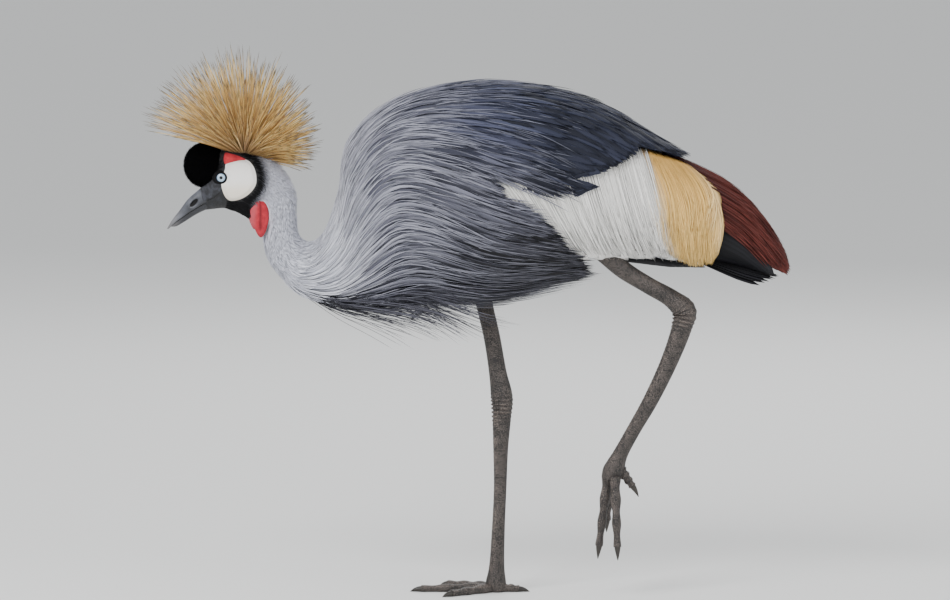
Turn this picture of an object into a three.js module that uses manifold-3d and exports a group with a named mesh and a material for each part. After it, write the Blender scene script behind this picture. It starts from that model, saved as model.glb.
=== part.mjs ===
// A grey crowned crane at life size, in mm, with +Z up. The bill points along -X and the left side
// faces -Y. The bird stands on its right foot, and its left foot is lifted in mid-stride.
import * as THREE from 'three';
import { mergeVertices } from 'three/addons/utils/BufferGeometryUtils.js';
import Module from 'manifold-3d';

const manifold = await Module();
manifold.setup();

const { smoothstep, lerp, clamp } = THREE.MathUtils;
const gap = 0.3;
const fullTurn = Math.PI * 2;
const degree = Math.PI / 180;

// Sections of the outer form of neck and body, from the nape to the wing tips. Each gives x and z
// of its top, x and z of its bottom, and its half width. A place on the form is a section number
// and an angle from the top, positive towards +Y.
const bodySections = [
  [-223, 493, -245, 420, 21],
  [-194, 453, -237, 406, 20],
  [-193, 425, -232, 395, 20],
  [-190, 403, -226, 375, 22],
  [-180, 396, -212, 356, 25],
  [-167, 402, -194, 338, 30],
  [-148, 450, -150, 323, 48],
  [-137, 507, -102, 327, 65],
  [-87, 554, -50, 337, 80],
  [14, 576, 25, 337, 90],
  [129, 559, 124, 357, 84],
  [222, 507, 222, 363, 66],
  [308, 450, 303, 357, 43],
  [372, 366, 348, 338, 24],
];
const neckSplit = 2.4;
const neckEnd = 6;
const torsoEnd = 11.2;
const coreSides = 14;
const coreStep = 0.5;
const neckDepth = 4;
const mantleDepth = 12;
const flankDepth = 22;

// Sections of the head, from the root of the bill to the nape
const headSections = [
  [-301.5, 456, -295.5, 431, 9],
  [-295, 470, -287, 432, 14],
  [-284, 486, -275, 433, 18],
  [-268, 496, -264, 431, 20.5],
  [-247, 499, -253.5, 426, 21.5],
  [-223.4, 493.2, -245.4, 420.2, 21.2],
];
const headEnd = headSections.length - 1;
const headLift = -0.5;
const headSides = 16;

const eye = { x: -277.6, y: 12.2, z: 469.4, radius: 8, lidRadius: 6.2, lidThick: 1.2, lidY: 18.2 };
const cheek = { x: -256, y: 15.3, z: 464.5, halves: [18, 7.4, 23], turn: -20 * degree };
const cap = { x: -296.2, z: 482, halves: [23.5, 19, 25.3] };

// Bill: x and z of the outer line, x and z of the line of the mouth, and half width
const billUpperRows = [
  [-302.0, 455.3, -297.9, 438.7, 8.6],
  [-315.3, 443.5, -309.8, 431.5, 7],
  [-325.4, 430.1, -320, 424.5, 5],
  [-333.2, 420, -330, 416.9, 3],
  [-338.8, 410.4, -337.4, 409.9, 0.7],
];
const billLowerRows = [
  [-296.2, 431.2, -297.8, 438.2, 7.8],
  [-306.3, 426.2, -310, 430.9, 6.3],
  [-318.5, 418.6, -320.3, 423.9, 4.4],
  [-328.5, 412.6, -330.2, 416.3, 2.5],
  [-335.2, 408.6, -336, 410, 0.7],
];
const billArcs = 8;
const nostril = { x: -309, y: 7.6, z: 440, halves: [5, 2.2, 1.8], turn: -44 * degree };

// Wattle: the fold across the throat, and the long folds down each side by x, y, z, half width,
// half depth, half height and turn in degrees. They overlap, with a crease between them.
const wattleFold = { x: -246, z: 419, halves: [6, 12, 15] };
const wattleFolds = [
  [-242, 13.5, 419, 6, 7, 19, -8],
  [-235, 16, 420, 6.5, 8, 22.5, -4],
];

// Legs: x, y, z and the half thickness along X and along Y
const standingRows = [
  [0, 36, 400, 15, 13],
  [9.5, 31, 358, 11, 10],
  [16.2, 27, 325, 9.5, 8.5],
  [25.2, 21, 286, 9.3, 8],
  [31.9, 16, 246, 10, 8.6],
  [36.4, 12, 218, 12.3, 11],
  [36.4, 10, 196, 10.4, 9],
  [35.3, 7, 162, 8.3, 7],
  [34.7, 4, 118, 7, 6.4],
  [32.5, 2, 67, 7.2, 6.4],
  [30.8, 0.5, 28, 8.6, 8],
  [29.7, 0, 9, 11.5, 11],
  [29.7, 0, -2, 10, 10],
];
const liftedRows = [
  [120, -40, 412, 18, 15],
  [146, -36, 388, 13, 12],
  [171, -35, 368, 10.5, 10],
  [200, -35, 350, 9.5, 9],
  [226, -35, 335, 10.5, 10],
  [240, -35, 321, 13.5, 11],
  [238, -35, 305, 11.5, 9.5],
  [224.6, -35, 267, 9.6, 8],
  [203, -35, 221, 8.4, 7],
  [182, -35, 184, 7.6, 6.8],
  [168.6, -35, 159, 8.4, 8],
  [161, -35, 141, 12, 11],
  [157, -35, 131, 10, 10],
];
const legSides = 8;
const ankleRow = 5;
const soleRow = 10;
const scuteCount = 9;
const scuteLift = 0.8;
const scuteLip = 0.6;

// Thin cuts that part each leg at the ankle and above the toes: centre and direction
const standingCuts = [
  [[36.4, 11, 207], [0, 0.08, 1]],
  [[30.5, 0, 23], [0, 0, 1]],
];
const liftedCuts = [
  [[239.5, -35, 312], [0.1, 0, 1]],
  [[165.5, -35, 152], [0.35, 0, 0.94]],
];

// Toes: name, length and angle from straight ahead, or the two ends of a toe that hangs
const toeThick = 5.2;
const clawLength = 12;
const standingToes = [
  ['middle', 84, 0],
  ['inner', 64, -38],
  ['outer', 68, 38],
  ['hind', 26, 180],
];
const liftedToes = [
  ['middle', [155, -35, 136], [145.3, -35, 57]],
  ['outer', [163, -42, 135], [165.5, -55, 58]],
  ['inner', [157, -29, 134], [154.5, -16, 84]],
  ['hind', [170, -34, 142], [182.5, -31, 124]],
];

// Feathers: how wide a vane is along its length, for a pointed and for a round one
const pointedVane = [[0, 0.55], [0.4, 1], [0.8, 0.75]];
const longVane = [[0, 0.5], [0.25, 0.9], [0.55, 1], [0.85, 0.65]];
const roundVane = [[0, 0.6], [0.45, 1], [0.9, 0.8]];
const vaneThick = 1.5;
const edgeDrop = 0.3;
const shingle = 1;
const rootSink = 3;

// Tiers of body feathers. Each has its section, the angles it spans on each side, the count there,
// the length at the top and at the bottom, the half width, and the lift of the tips.
const neckTiers = [
  { s: 4.3, from: 0.5, to: 2.95, count: 5, lengths: [22, 70], half: 8, tip: 0.5, drift: 0.12 },
  { s: 5.2, from: 0.55, to: 2.93, count: 6, lengths: [24, 112], half: 10, tip: 1.5, drift: 0.12 },
];
const mantleTiers = [
  { s: 6.22, from: 0.2, to: 2.95, count: 5, lengths: [48, 125], half: 15, tip: 0, drift: 0.12 },
  { s: 6.85, from: 0.14, to: 2.9, count: 6, lengths: [75, 165], half: 16, tip: 0, drift: 0.12 },
  { s: 7.5, from: 0.13, to: 2.85, count: 7, lengths: [100, 200], half: 17, tip: 0, drift: 0.12 },
  { s: 8.1, from: 0.12, to: 2.7, count: 7, lengths: [115, 205], half: 20, tip: 0, drift: 0.3 },
  { s: 8.75, from: 0.12, to: 1.15, count: 3, lengths: [120, 130], half: 19, tip: -1, drift: 0.55 },
  { s: 9.5, from: 0.12, to: 1.0, count: 3, lengths: [105, 105], half: 17, tip: -2, drift: 0.45 },
  { s: 10.15, from: 0.12, to: 0.6, count: 2, lengths: [90, 90], half: 15, tip: -2, drift: 0.3 },
];
const fringe = { s: 5.55, spread: 0.9, count: 5, length: 180, half: 8, drop: 36, drift: 0.12 };

// Wing: slab of folded wing under the vanes, by its sections, angles and lifts
const wing = { from: 8.8, to: 11.1, low: -25, front: -20, high: -16, top: 1.26, end: 2.25 };
const wingColumns = 6;
const wingRows = 4;
const stackStep = 1.8;
const rowLayer = 1;
const whiteRows = [
  { from: [9, 1.35], to: [9.85, 2.5], spread: 1.0, count: 4, half: 17, tip: -11 },
  { from: [9.3, 1.2], to: [10.2, 2.1], spread: 0.9, count: 3, half: 19, tip: -7 },
];
const goldRow = {
  from: [10.45, 0.95],
  to: [10.75, 2.35],
  spread: 0.55,
  reach: 0.9,
  rise: 0.4,
  bow: 0.1,
  count: 4,
  half: 13,
  tip: -3,
};
const rufousRow = { from: 10.6, angles: [0.3, 1.2], to: 13, ends: [0.5, 1.75], count: 4, half: 14, tip: -1 };
const blackRow = { from: 10.9, angles: [1.7, 2.1], to: 12.6, ends: [2.2, 2.7], count: 2, half: 13, tip: -8 };

// Tail: a short root, and the vanes of the fan
const tail = {
  root: [226, 0, 398],
  rootHalves: [22, 17, 7],
  rootTurn: 24 * degree,
  tip: [347, 24, 355],
  sag: 6,
  sweep: 22,
  count: 7,
  half: 10,
  bow: 7,
};

// Crest: bristles that spread all round from a pad on the crown
const crest = { x: -252, z: 494, padHalves: [19, 13, 8.5], count: 132, thick: 0.9, droop: 0.1 };
const crestReach = [[-25, 80], [15, 92], [60, 136], [95, 156], [140, 134], [175, 120]];

// A stream of pseudo-random numbers between 0 and 1
function randomStream(seed) {
  let state = seed;
  return () => {
    state = (state * 1664525 + 1013904223) % 4294967296;
    return state / 4294967296;
  };
}

// Turns a closed geometry into a solid
function toSolid(geometry) {
  const bare = geometry.clone();
  bare.deleteAttribute('normal');
  bare.deleteAttribute('uv');
  const merged = mergeVertices(bare, 1e-4);
  const mesh = new manifold.Mesh({
    numProp: 3,
    vertProperties: new Float32Array(merged.attributes.position.array),
    triVerts: new Uint32Array(merged.index.array),
  });
  return new manifold.Manifold(mesh);
}

// The same geometry with its faces turned over
function flipped(geometry) {
  const turned = geometry.clone();
  const index = turned.index.array;
  for (let k = 0; k < index.length; k += 3) {
    [index[k], index[k + 1]] = [index[k + 1], index[k]];
  }
  return turned;
}

// The solid of a closed geometry, with its faces turned over where they point inwards
function outward(geometry) {
  const solid = toSolid(geometry);
  return solid.volume() > 0 ? solid : toSolid(flipped(geometry));
}

// Turns a solid into a geometry, and keeps only its largest closed surface
function toGeometry(solid) {
  let largest = null;
  for (const piece of solid.decompose()) {
    if (!largest || piece.volume() > largest.volume()) {
      largest = piece;
    }
  }
  const mesh = largest.getMesh();
  const geometry = new THREE.BufferGeometry();
  geometry.setAttribute('position', new THREE.BufferAttribute(new Float32Array(mesh.vertProperties), 3));
  geometry.setIndex(new THREE.BufferAttribute(new Uint32Array(mesh.triVerts), 1));
  geometry.computeVertexNormals();
  return geometry;
}

function joined(pieces) {
  return manifold.Manifold.union(pieces);
}

function without(solid, cutters) {
  return cutters.reduce((rest, cutter) => rest.subtract(cutter), solid);
}

function indexedGeometry(positions, indices) {
  const geometry = new THREE.BufferGeometry();
  geometry.setAttribute('position', new THREE.Float32BufferAttribute(positions, 3));
  geometry.setIndex(indices);
  return geometry;
}

// Joins rings of points into one closed geometry, with a fan over each end
function loft(rings) {
  const positions = [];
  const indices = [];
  const sides = rings[0].length;
  for (const ring of rings) {
    for (const point of ring) {
      positions.push(...point.toArray());
    }
  }
  for (let k = 0; k + 1 < rings.length; k += 1) {
    for (let j = 0; j < sides; j += 1) {
      const a = k * sides + j;
      const b = k * sides + ((j + 1) % sides);
      indices.push(a, a + sides, b, b, a + sides, b + sides);
    }
  }
  const lastOffset = (rings.length - 1) * sides;
  for (let j = 1; j + 1 < sides; j += 1) {
    indices.push(0, j, j + 1);
    indices.push(lastOffset, lastOffset + j + 1, lastOffset + j);
  }
  return indexedGeometry(positions, indices);
}

// A smooth form through sections
function makeShell(sections) {
  const last = sections.length - 1;
  const ridge = new THREE.CatmullRomCurve3(sections.map((row) => new THREE.Vector3(row[0], row[4], row[1])));
  const keel = new THREE.CatmullRomCurve3(sections.map((row) => new THREE.Vector3(row[2], 0, row[3])));
  function point(s, angle, lift = 0) {
    const t = clamp(s / last, 0, 1);
    const top = ridge.getPoint(t);
    const halfWidth = top.y;
    top.y = 0;
    const bottom = keel.getPoint(t);
    const middle = top.clone().add(bottom).multiplyScalar(0.5);
    const half = top.sub(bottom).multiplyScalar(0.5);
    const upward = Math.cos(angle) * (1 + lift / half.length());
    const sideways = (halfWidth + lift) * Math.sin(angle);
    return middle.addScaledVector(half, upward).add(new THREE.Vector3(0, sideways, 0));
  }
  function normal(s, angle) {
    const step = 0.02;
    const along = point(s + step, angle).sub(point(s - step, angle));
    const around = point(s, angle + step).sub(point(s, angle - step));
    const out = point(s, angle, 1).sub(point(s, angle));
    const across = around.cross(along).normalize();
    return across.dot(out) < 0 ? across.negate() : across;
  }
  // How far section and angle change for one mm along a direction that lies on the form
  function steps(s, angle, direction) {
    const step = 0.02;
    const along = point(s + step, angle).sub(point(s - step, angle)).divideScalar(2 * step);
    const around = point(s, angle + step).sub(point(s, angle - step)).divideScalar(2 * step);
    const [aa, ab, bb] = [along.dot(along), along.dot(around), around.dot(around)];
    const [a, b] = [direction.dot(along), direction.dot(around)];
    const scale = aa * bb - ab * ab;
    return [(a * bb - b * ab) / scale, (b * aa - a * ab) / scale];
  }
  return { point, normal, steps, last };
}

// A closed body between two sections of a shell, with its own lift at each place
function shellBody(shell, from, to, lift, sides = coreSides, step = coreStep) {
  const count = Math.max(1, Math.round((to - from) / step));
  const rings = [];
  for (let k = 0; k <= count; k += 1) {
    const s = from + ((to - from) * k) / count;
    const ring = [];
    for (let j = 0; j < sides; j += 1) {
      const turned = (fullTurn * j) / sides;
      const angle = turned > Math.PI ? turned - fullTurn : turned;
      ring.push(shell.point(s, angle, lift(s, angle)));
    }
    rings.push(ring);
  }
  return outward(loft(rings));
}

// A closed slab over a shell, with its rim between the angles that edge(s) gives
function shellSlab(shell, from, to, edge, low, high, columns, rows) {
  const rings = [];
  for (let k = 0; k <= columns; k += 1) {
    const s = from + ((to - from) * k) / columns;
    const [start, end] = edge(s);
    const angles = [];
    for (let j = 0; j <= rows; j += 1) {
      angles.push(start + ((end - start) * j) / rows);
    }
    const upper = angles.map((angle) => shell.point(s, angle, high(s)));
    const lower = angles.map((angle) => shell.point(s, angle, low(s)));
    rings.push([...upper, ...lower.reverse()]);
  }
  return outward(loft(rings));
}

// A round limb through rows of x, y, z and the half thickness along X and along Y. A row may also
// give the height of a scute's lip on the front.
function limb(rows, sides = legSides, extra = 0) {
  const rings = rows.map(([x, y, z, deep, wide, lip = 0], k) => {
    const before = rows[Math.max(0, k - 1)];
    const after = rows[Math.min(rows.length - 1, k + 1)];
    const along = new THREE.Vector3(...after).sub(new THREE.Vector3(...before)).normalize();
    const front = new THREE.Vector3(0, 1, 0).cross(along).normalize();
    const side = along.clone().cross(front).normalize();
    const ring = [];
    for (let j = 0; j < sides; j += 1) {
      const angle = (fullTurn * (j + 0.5)) / sides;
      const forward = (deep + extra) * Math.cos(angle) + lip * Math.max(0, Math.cos(angle));
      const sideways = (wide + extra) * Math.sin(angle);
      ring.push(new THREE.Vector3(x, y, z).addScaledVector(front, forward).addScaledVector(side, sideways));
    }
    return ring;
  });
  return outward(loft(rings));
}

// An ellipsoid with its half sizes and a turn about Y
function ellipsoid(centre, halves, turn = 0, wide = 16, tall = 10) {
  const geometry = new THREE.SphereGeometry(1, wide, tall);
  geometry.scale(...halves);
  geometry.rotateY(turn);
  geometry.translate(...centre);
  return outward(geometry);
}

// A feather vane: keeled above and below, and pointed. Each place gives its middle, its two edges and
// the direction that faces out. Both faces are split into triangles alike.
function vane(places, tip) {
  const positions = [];
  const indices = [];
  for (const { point, left, right, out } of places) {
    const top = point.clone().addScaledVector(out, vaneThick / 2);
    const bottom = point.clone().addScaledVector(out, -vaneThick / 2);
    for (const corner of [left, top, right, bottom]) {
      positions.push(...corner.toArray());
    }
  }
  const tipIndex = positions.length / 3;
  positions.push(...tip.toArray());
  indices.push(0, 1, 2, 0, 2, 3);
  for (let k = 0; k < places.length; k += 1) {
    const [left, top, right, bottom] = [0, 1, 2, 3].map((corner) => 4 * k + corner);
    if (k + 1 === places.length) {
      indices.push(left, tipIndex, top, top, tipIndex, right);
      indices.push(right, tipIndex, bottom, bottom, tipIndex, left);
    } else {
      indices.push(left, left + 4, top + 4, left, top + 4, top);
      indices.push(right, top, top + 4, right, top + 4, right + 4);
      indices.push(right, right + 4, bottom + 4, right, bottom + 4, bottom);
      indices.push(left, bottom, bottom + 4, left, bottom + 4, left + 4);
    }
  }
  return outward(indexedGeometry(positions, indices));
}

// A vane that lies over a shell. route(t) gives its section, angle and lift at each share of its length.
function shellVane(shell, route, half, profile) {
  const tip = shell.point(...route(1));
  const middles = profile.map(([share]) => shell.point(...route(share)));
  const places = profile.map(([share, width], k) => {
    const [s, angle, lift] = route(share);
    const before = middles[Math.max(0, k - 1)];
    const along = (middles[k + 1] ?? tip).clone().sub(before).normalize();
    const out = shell.normal(s, angle);
    const side = out.clone().cross(along).normalize();
    const [stepS, stepAngle] = shell.steps(s, angle, side);
    const edge = (reach) => {
      const run = reach * width;
      return shell.point(s + stepS * run, angle + stepAngle * run, lift - edgeDrop);
    };
    return { point: middles[k], out, left: edge(half), right: edge(-half) };
  });
  return vane(places, tip);
}

// Follows the lie of the feathers from a place on the shell over a length. It drifts towards the belly.
function flow(shell, s, angle, length, drift) {
  const steps = [[s, angle]];
  const stride = 0.05;
  let walked = 0;
  let here = shell.point(s, angle);
  while (walked < length && steps[steps.length - 1][0] < shell.last) {
    const [section, turn] = steps[steps.length - 1];
    const next = [section + stride, turn + drift * stride * Math.sin(turn)];
    const there = shell.point(...next);
    walked += there.distanceTo(here);
    here = there;
    steps.push(next);
  }
  return (share) => {
    const place = share * (steps.length - 1);
    const k = Math.min(Math.floor(place), steps.length - 2);
    const part = place - k;
    return [lerp(steps[k][0], steps[k + 1][0], part), lerp(steps[k][1], steps[k + 1][1], part)];
  };
}

const body = makeShell(bodySections);
const skull = makeShell(headSections);

// Lift of the core below the outer form: least on the neck, more under the mantle, most under the wings
function coreLift(s, angle) {
  const turn = Math.abs(angle);
  const mantle = lerp(neckDepth, mantleDepth, smoothstep(s, 4.5, 8));
  const wingShare = smoothstep(s, 7.4, 8.4) * smoothstep(turn, 0.7, 1.0) * (1 - smoothstep(turn, 2.1, 2.7));
  const rearShare = smoothstep(s, 9.4, 10.4);
  return -lerp(mantle, flankDepth, Math.max(wingShare, rearShare));
}

const gapStep = 0.012;
const clearLift = (s, angle) => coreLift(s, angle) + gap;
const torsoCore = shellBody(body, neckEnd, torsoEnd, coreLift);
const neckLowerCore = shellBody(body, neckSplit + gapStep, neckEnd - gapStep, coreLift);
const neckUpperCore = shellBody(body, 0.01, neckSplit - gapStep, coreLift);
const torsoClear = shellBody(body, neckEnd - gapStep, torsoEnd + gapStep, clearLift);
const neckUpperClear = shellBody(body, 0, neckSplit, clearLift);
const skullClear = shellBody(skull, 0, headEnd, () => headLift + gap, headSides);
const capClear = ellipsoid([cap.x, 0, cap.z], cap.halves.map((half) => half + 2 * gap));
const floorCut = toSolid(new THREE.BoxGeometry(600, 600, 100).translate(0, 0, -50));
const standingClear = limb(standingRows, legSides, 1.5 * gap);
const liftedClear = limb(liftedRows, legSides, 1.5 * gap);

// Vanes of one tier of body feathers, on both sides
function tierVanes(tier, random) {
  const vanes = [];
  for (const side of [-1, 1]) {
    for (let k = 0; k < tier.count; k += 1) {
      const share = (k + 0.5 + 0.2 * (random() - 0.5)) / tier.count;
      const angle = lerp(tier.from, tier.to, share);
      const start = tier.s + 0.12 * (random() - 0.5);
      const low = (1 - Math.cos(angle)) / 2;
      const length = lerp(tier.lengths[0], tier.lengths[1], low) * lerp(0.92, 1.06, random());
      const path = flow(body, start, side * angle, length, tier.drift);
      const layer = (k + (side > 0 ? 1 : 0)) % 2 === 0 ? shingle : -shingle;
      const rootLift = coreLift(start, angle) - rootSink + layer;
      const tipLift = tier.tip + lerp(-0.4, 0.4, random()) + layer;
      const route = (t) => [...path(t), lerp(rootLift, tipLift, t ** 0.6)];
      const half = tier.half * lerp(0.95, 1.05, random());
      vanes.push(shellVane(body, route, half, length > 150 ? longVane : pointedVane));
    }
  }
  return vanes;
}

// Loose plumes that hang from the lower breast
function fringeVanes(random) {
  const vanes = [];
  for (const side of [-1, 1]) {
    for (let k = 0; k < fringe.count; k += 1) {
      const share = (k + 0.5) / fringe.count;
      const angle = Math.PI - fringe.spread * share;
      const start = fringe.s + 0.3 * share + 0.06 * random();
      const path = flow(body, start, side * angle, fringe.length * lerp(0.85, 1.05, random()), fringe.drift);
      const rootLift = coreLift(start, angle) - rootSink;
      const drop = fringe.drop * lerp(0.6, 1, random()) * (1 - 0.5 * share);
      const route = (t) => [...path(t), lerp(rootLift, 4, t ** 0.6) + drop * t ** 2.2];
      vanes.push(shellVane(body, route, fringe.half, pointedVane));
    }
  }
  return vanes;
}

function makeTorso() {
  const random = randomStream(11);
  const pieces = [torsoCore];
  for (const tier of mantleTiers) {
    pieces.push(...tierVanes(tier, random));
  }
  return without(joined(pieces), [standingClear, liftedClear]);
}

function makeNeckLower() {
  const random = randomStream(23);
  const pieces = [neckLowerCore];
  for (const tier of neckTiers) {
    pieces.push(...tierVanes(tier, random));
  }
  pieces.push(...fringeVanes(random));
  return without(joined(pieces), [standingClear, torsoClear]);
}

// Eyes: a ball in a socket, with a raised lid all round
function eyeball(side, radius) {
  const geometry = new THREE.SphereGeometry(radius, 12, 8);
  geometry.rotateX(Math.PI / 2);
  geometry.translate(eye.x, side * eye.y, eye.z);
  return outward(geometry);
}

function eyelid(side) {
  const geometry = new THREE.TorusGeometry(eye.lidRadius, eye.lidThick, 3, 10);
  geometry.rotateX(Math.PI / 2);
  geometry.translate(eye.x, side * eye.lidY, eye.z);
  return outward(geometry);
}

function makeHead() {
  const pieces = [shellBody(skull, 0, headEnd, () => headLift, headSides)];
  for (const side of [-1, 1]) {
    pieces.push(ellipsoid([cheek.x, side * cheek.y, cheek.z], cheek.halves, cheek.turn, 10, 6));
    pieces.push(eyelid(side));
  }
  const sockets = [-1, 1].map((side) => eyeball(side, eye.radius + 1.15 * gap));
  return without(joined(pieces), [...sockets, neckUpperClear]);
}

function makeCap() {
  const eyeRoom = [-1, 1].map((side) => eyeball(side, eye.radius + 2));
  return without(ellipsoid([cap.x, 0, cap.z], cap.halves, 0, 14, 8), [skullClear, ...eyeRoom]);
}

// Half of the bill, round on its outer side and flat along the line of the mouth
function billHalf(rows) {
  const rings = rows.map(([outerX, outerZ, mouthX, mouthZ, halfWidth]) => {
    const ring = [];
    for (let j = 0; j <= billArcs; j += 1) {
      const angle = -Math.PI / 2 + (Math.PI * j) / billArcs;
      const x = lerp(mouthX, outerX, Math.cos(angle));
      const z = lerp(mouthZ, outerZ, Math.cos(angle));
      ring.push(new THREE.Vector3(x, halfWidth * Math.sin(angle), z));
    }
    return ring;
  });
  return outward(loft(rings));
}

function makeBillUpper() {
  const slots = [-1, 1].map((side) => {
    const centre = [nostril.x, side * nostril.y, nostril.z];
    return ellipsoid(centre, nostril.halves, nostril.turn, 10, 6);
  });
  return without(billHalf(billUpperRows), slots);
}

function makeWattle() {
  const pieces = [ellipsoid([wattleFold.x, 0, wattleFold.z], wattleFold.halves, 0, 8, 6)];
  for (const side of [-1, 1]) {
    for (const [x, y, z, wide, thick, tall, turn] of wattleFolds) {
      pieces.push(ellipsoid([x, side * y, z], [wide, thick, tall], turn * degree, 8, 6));
    }
  }
  return without(joined(pieces), [neckUpperClear, skullClear]);
}

// One bristle of the crest: three sides, bent a little by its own weight
function bristle(root, direction, length, thick) {
  const side = new THREE.Vector3(0, 1, 0).cross(direction).normalize();
  const up = direction.clone().cross(side).normalize();
  const rings = [0, 0.5].map((share) => {
    const centre = root.clone().addScaledVector(direction, length * share);
    centre.z -= crest.droop * length * share * share;
    const radius = thick * (1 - 0.35 * share);
    return [0, 1, 2].map((j) => {
      const angle = (fullTurn * j) / 3;
      const corner = centre.clone().addScaledVector(side, radius * Math.cos(angle));
      return corner.addScaledVector(up, radius * Math.sin(angle));
    });
  });
  const tip = root.clone().addScaledVector(direction, length);
  tip.z -= crest.droop * length;
  const positions = [...rings[0], ...rings[1], tip].flatMap((corner) => corner.toArray());
  const indices = [0, 1, 2];
  for (let j = 0; j < 3; j += 1) {
    const next = (j + 1) % 3;
    indices.push(j, j + 3, next, next, j + 3, next + 3, j + 3, 6, next + 3);
  }
  return outward(indexedGeometry(positions, indices));
}

// Reach of the crest in the plane of the head, at an angle above straight back
function reachAt(angle) {
  for (let k = 0; k + 1 < crestReach.length; k += 1) {
    const [from, near] = crestReach[k];
    const [to, far] = crestReach[k + 1];
    if (angle <= to) {
      return lerp(near, far, clamp((angle - from) / (to - from), 0, 1));
    }
  }
  return crestReach[crestReach.length - 1][1];
}

function makeCrest() {
  const random = randomStream(37);
  const pieces = [ellipsoid([crest.x, 0, crest.z], crest.padHalves, 0, 14, 8)];
  const goldenTurn = Math.PI * (3 - Math.sqrt(5));
  for (let k = 0; k < crest.count; k += 1) {
    const height = lerp(1, -0.3, (k + 0.5) / crest.count);
    const across = Math.sqrt(1 - height * height);
    const turn = k * goldenTurn;
    const direction = new THREE.Vector3(across * Math.cos(turn), across * Math.sin(turn), height);
    const plane = Math.atan2(direction.z, direction.x) / degree;
    const lowest = direction.x > 0 ? -0.3 * direction.x : 0.26;
    if (direction.z < Math.max(lowest, 0.55 * Math.abs(direction.y) - 0.2)) {
      continue;
    }
    const reach = reachAt(plane < -90 ? plane + 360 : plane) * lerp(0.84, 1, random());
    const length = reach * (1 - 0.12 * Math.abs(direction.y));
    const root = new THREE.Vector3(
      crest.x + 0.72 * crest.padHalves[0] * direction.x,
      0.72 * crest.padHalves[1] * direction.y,
      crest.z + 0.72 * crest.padHalves[2] * Math.max(0.25, direction.z),
    );
    direction.x += 0.05 * (random() - 0.5);
    direction.z += 0.05 * random() + crest.droop * 0.5;
    pieces.push(bristle(root, direction.normalize(), length, crest.thick * lerp(0.85, 1.1, random())));
  }
  return without(joined(pieces), [skullClear, capClear]);
}

// Angles of the top and bottom edges of the folded wing at a section
function wingEdge(side) {
  return (s) => {
    const start = lerp(wing.top, 0.25, smoothstep(s, 10, 10.8));
    const end = lerp(1.8, wing.end, smoothstep(s, wing.from, wing.from + 0.8));
    return side > 0 ? [start, end] : [-start, -end];
  };
}

// A row of vanes from one line on the wing to another
function wingRow(side, row, profile, random) {
  const vanes = [];
  for (let k = 0; k < row.count; k += 1) {
    const share = (k + 0.5) / row.count;
    const [fromS, fromAngle] = row.from(share);
    const [toS, toAngle] = row.to(share);
    const layer = row.stacked ? -stackStep * k : rowLayer * (k % 2 === 0 ? 1 : -1);
    const tipLift = row.tip + layer + lerp(-0.2, 0.2, random());
    const rootLift = wing.high - rootSink / 2 + layer;
    const route = (t) => [
      lerp(fromS, toS, t) + (row.bow ?? 0) * Math.sin(Math.PI * t),
      side * lerp(fromAngle, toAngle, t),
      lerp(rootLift, tipLift, t ** 0.55),
    ];
    vanes.push(shellVane(body, route, row.half, profile));
  }
  return vanes;
}

function makeWing(side, legClear) {
  const random = randomStream(side > 0 ? 53 : 59);
  const low = () => wing.low;
  const high = (s) => lerp(wing.front, wing.high, smoothstep(s, wing.from, wing.from + 0.8));
  const pieces = [shellSlab(body, wing.from, wing.to, wingEdge(side), low, high, wingColumns, wingRows)];
  const rufous = {
    ...rufousRow,
    stacked: true,
    from: (share) => [rufousRow.from + 0.2 * share, lerp(...rufousRow.angles, share)],
    to: (share) => [rufousRow.to - 0.3 * share, lerp(...rufousRow.ends, share)],
  };
  const primaries = {
    ...blackRow,
    stacked: true,
    from: (share) => [blackRow.from - 0.2 * share, lerp(...blackRow.angles, share)],
    to: (share) => [blackRow.to - 0.5 * share, lerp(...blackRow.ends, share)],
  };
  const gold = {
    ...goldRow,
    from: (share) => [goldRow.from[0] + goldRow.spread * share, goldRow.from[1] - goldRow.rise * share],
    to: (share) => [goldRow.to[0] + goldRow.reach * share, goldRow.to[1] - 0.5 * goldRow.rise * share],
  };
  pieces.push(...wingRow(side, rufous, longVane, random));
  pieces.push(...wingRow(side, primaries, pointedVane, random));
  for (const row of whiteRows) {
    const white = {
      ...row,
      from: (share) => [row.from[0] + row.spread * share, row.from[1]],
      to: (share) => [row.to[0] + row.spread * share, row.to[1]],
    };
    pieces.push(...wingRow(side, white, roundVane, random));
  }
  pieces.push(...wingRow(side, gold, roundVane, random));
  return without(joined(pieces), [torsoClear, legClear]);
}

// Black tail: a short root under the wings, and vanes that fan out behind it
function makeTail() {
  const pieces = [ellipsoid(tail.root, tail.rootHalves, tail.rootTurn, 12, 8)];
  for (let k = 0; k < tail.count; k += 1) {
    const across = (2 * k) / (tail.count - 1) - 1;
    const layer = 1.6 * (1 - Math.abs(across)) + (k % 2 === 0 ? 0.5 : -0.5);
    const root = new THREE.Vector3(tail.root[0], 0.7 * tail.rootHalves[1] * across, tail.root[2]);
    const tip = new THREE.Vector3(
      tail.tip[0] - tail.sweep * across * across,
      tail.tip[1] * across,
      tail.tip[2] - tail.sag * across * across + layer,
    );
    const out = new THREE.Vector3(0.4, 0.25 * across, 0.9).normalize();
    const side = new THREE.Vector3(0, 1, 0).addScaledVector(out, -out.y).normalize();
    const places = pointedVane.map(([share, width]) => {
      const point = root.clone().lerp(tip, share);
      point.z -= tail.bow * Math.sin(Math.PI * share);
      const low = point.clone().addScaledVector(out, -edgeDrop);
      const edge = (reach) => low.clone().addScaledVector(side, reach * width);
      return { point, out, left: edge(tail.half), right: edge(-tail.half) };
    });
    pieces.push(vane(places, tip));
  }
  return without(joined(pieces), [torsoClear]);
}

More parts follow.
